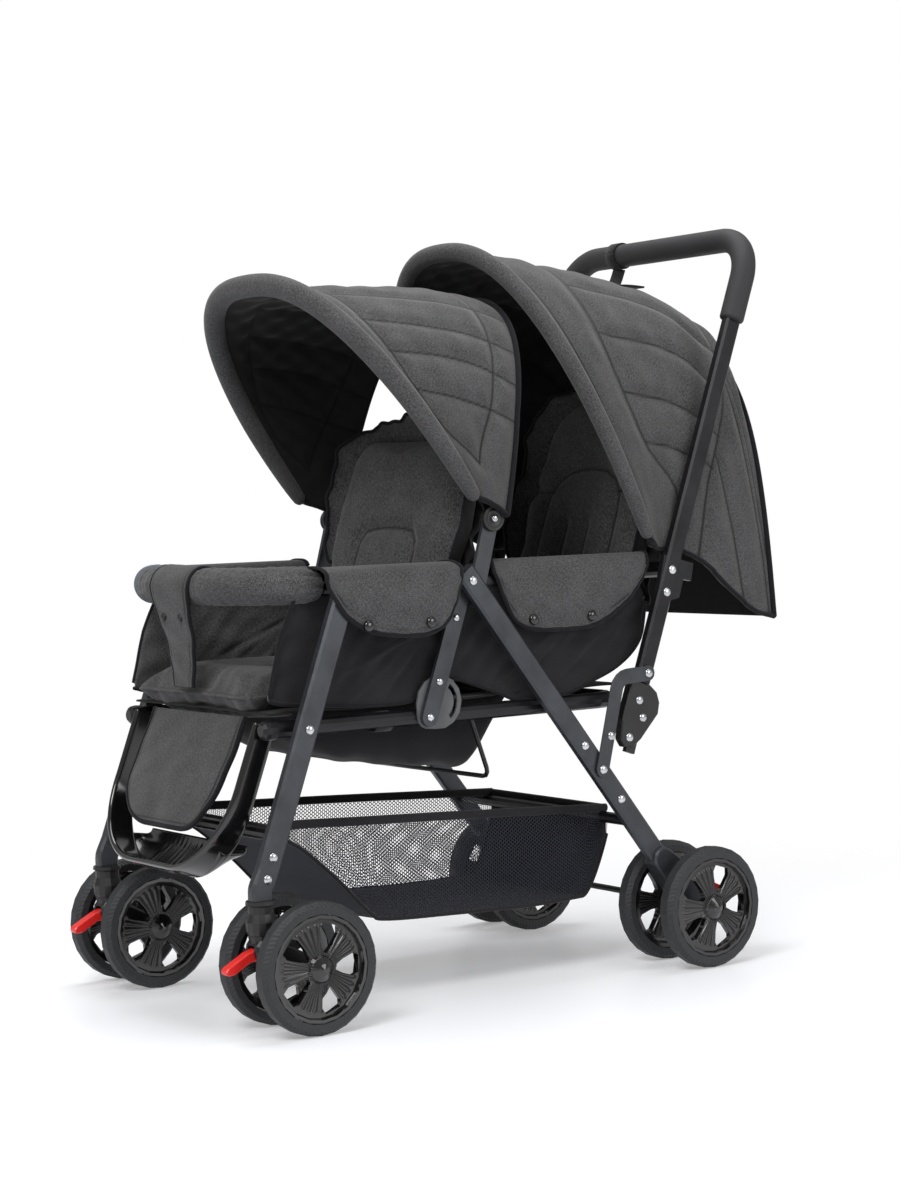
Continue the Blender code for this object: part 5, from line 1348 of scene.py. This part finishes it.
# A ring of flat webbing round a tube: a circle of the given radius in the plane across its axis.
def webbingRing(name, centre, axis, radius, wide, body):
    axis = np.asarray(axis, float) / np.linalg.norm(axis)
    first = np.cross(axis, (0.0, 0.2, 1.0))
    first /= np.linalg.norm(first)
    turn = np.linspace(0, 2 * math.pi, 60)[:, None]
    path = np.asarray(centre, float) + radius * (np.cos(turn) * first + np.sin(turn) * np.cross(axis, first))
    finishPiece(band(name, path, wide, up=path[0] - centre), body)


for side in (1, -1):
    webbingRing(f"rail_loop_{side + 1}", (0.1685 * side, -0.158, 0.3680), (0, 1, 0), 0.0122, 0.026, "seat_frame")
loopMiddle = np.array((-0.092, *handlePoint(handleTop)))
webbingRing("handle_loop", loopMiddle, (1, 0, 0), 0.0186, 0.020, "handle")


# The webbing from the loop to the black flap on the rear hood, and that flap: a patch of the hood's own surface, lifted.
def hoodTether():
    grid, out = hoodGrids["rear"]
    across = np.nonzero(np.abs(grid[105, :, 0] + 0.044) < 0.067)[0]
    patch, lift = grid[92:118, across[0] : across[-1] + 1], out[92:118, across[0] : across[-1] + 1]
    if (patch * lift)[..., 2].mean() < 0:
        lift = -lift
    rise = np.linspace(0.0065, 0.0240, patch.shape[0])[:, None, None]
    flap = shell("hood_top_flap", patch + lift * (rise + 0.0030), patch + lift * rise, [oxford, oxford])
    finishPiece(flap, "rear_canopy_frame")
    middle = patch.shape[1] // 2
    end = patch[13, middle] + lift[13, middle] * 0.014
    start = loopMiddle - (0, 0, 0.0195)
    sag = [start * 0.72 + end * 0.28 - (0, 0, 0.012), start * 0.35 + end * 0.65 - (0, 0, 0.006)]
    path = smoothPath([start, *sag, end], 60)
    string = band("hood_tether", path, 0.018, up=np.cross((0.573, 0.82, 0), path[1] - path[0]))
    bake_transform(string)
    print("tether length", round(float(runLength(path)[-1]), 3))


hoodTether()

# The ringed discs on the uprights under the front hood's hem: a turned profile, radius against height.
discLook = {
    "x": 0.1965, "y": 0.008, "z": 0.622, "sides": 56,
    "rings": [
        (0.0168, 0.0), (0.0168, 0.0030), (0.0156, 0.0042), (0.0142, 0.0032), (0.0126, 0.0032), (0.0112, 0.0046),
        (0.0092, 0.0050), (0.0080, 0.0042), (0.0, 0.0042),
    ],
}


def hingeDiscs():
    turn = np.linspace(0, 2 * math.pi, discLook["sides"], endpoint=False)[None]
    radius, height = (np.array([p[k] for p in discLook["rings"]])[:, None] for k in (0, 1))
    y, z = discLook["y"] + radius * np.cos(turn), discLook["z"] + radius * np.sin(turn)
    faces = closedFaces(len(radius), discLook["sides"])[:-1]  # the last ring is a single point
    made = []
    for sign in (1, -1):
        grid = np.stack([sign * (discLook["x"] + height) + 0 * turn, y, z], -1)
        made.append(makeObject("disc", grid, faces, blackPlastic))
    finishPiece(joined("hood_hinge_discs", made), "uprights")


hingeDiscs()

# The floor turns white between near and far.
stageLook = {"floor": (0.74, 0.75, 0.78), "world": 0.42, "glow": 0.27, "near": 0.45, "far": 1.4}


def makeStage():
    bpy.ops.mesh.primitive_plane_add(size=14, location=(0, 0, 0))
    floor = bpy.context.object
    floor.name = "floor"
    material, tree, shader = newMaterial("floorPaper")
    setShader(shader, Base_Color=(*stageLook["floor"], 1), Roughness=0.35, Specular_IOR_Level=0.25)
    path = addNode(tree, "ShaderNodeLightPath").outputs
    seen = mathNode(tree, "MAXIMUM", path["Is Camera Ray"], path["Is Glossy Ray"])
    glow, white = (
        addNode(tree, "ShaderNodeEmission", Color=(1, 1, 1, 1), Strength=strength).outputs[0]
        for strength in (stageLook["glow"], 1.0)
    )
    far = addNode(tree, "ShaderNodeVectorMath", {"operation": "LENGTH"})
    tree.links.new(addNode(tree, "ShaderNodeTexCoord").outputs["Object"], far.inputs[0])
    fade = mapRange(tree, far.outputs["Value"], stageLook["near"], stageLook["far"], smooth=True)
    shade, faded, lifted = (tree.nodes.new(f"ShaderNode{kind}Shader") for kind in ("Add", "Mix", "Mix"))
    paper = shader.outputs[0]
    feed(tree, shade.inputs, (paper, glow))
    feed(tree, faded.inputs, (fade, shade.outputs[0], white))
    feed(tree, lifted.inputs, (seen, paper, faded.outputs[0]))
    tree.links.new(lifted.outputs[0], tree.nodes["Material Output"].inputs["Surface"])
    floor.data.materials.append(material)
    world = bpy.data.worlds.new("studio")
    bpy.context.scene.world = world
    world.use_nodes = True
    tree, background = world.node_tree, world.node_tree.nodes["Background"]
    path = addNode(tree, "ShaderNodeLightPath").outputs
    seen = mathNode(tree, "MAXIMUM", path["Is Camera Ray"], path["Is Transmission Ray"])
    background.inputs["Color"].default_value = (1, 1, 1, 1)
    tree.links.new(mapRange(tree, seen, 0.0, 1.0, stageLook["world"]), background.inputs["Strength"])


def makeLamp(name, place, aim, size, power):
    light = bpy.data.lights.new(name, "AREA")
    light.shape, light.size, light.energy = "DISK", size, power
    lamp = bpy.data.objects.new(name, light)
    lamp.location = place
    lamp.rotation_euler = (Vector(aim) - Vector(place)).to_track_quat("-Z", "Y").to_euler()
    bpy.context.scene.collection.objects.link(lamp)


# The camera was solved from the photograph: its place, its turn in degrees and its lens.
cameraLook = {"place": (2.8248, -1.9418, 0.6572), "azimuth": 55.0576, "elevation": 2.4664, "roll": -1.7108, "lens": 74.8065}


def makeCamera():
    a, e, r = (math.radians(cameraLook[k]) for k in ("azimuth", "elevation", "roll"))
    back = Vector((math.sin(a) * math.cos(e), -math.cos(a) * math.cos(e), math.sin(e)))
    right = (-back).cross(Vector((0, 0, 1))).normalized()
    up = right.cross(-back)
    side, rise = right * math.cos(r) + up * math.sin(r), -right * math.sin(r) + up * math.cos(r)
    camera = bpy.data.objects.new("camera", bpy.data.cameras.new("camera"))
    camera.data.lens, camera.data.sensor_width = cameraLook["lens"], 36.0
    place = Vector(cameraLook["place"])
    camera.matrix_world = Matrix([(side[k], rise[k], back[k], place[k]) for k in range(3)] + [(0, 0, 0, 1)])
    bpy.context.scene.collection.objects.link(camera)
    bpy.context.scene.camera = camera


makeStage()
makeLamp("keyLamp", (1.6, -2.6, 3.2), (0, 0, 0.5), 1.8, 95)
makeLamp("topLamp", (-0.4, 0.3, 3.4), (0, 0, 0.5), 2.4, 70)
makeLamp("fillLamp", (3.2, 1.2, 1.6), (0, 0, 0.5), 2.0, 40)
makeCamera()
bpy.context.scene.view_settings.view_transform = "Standard"
print("stage made")
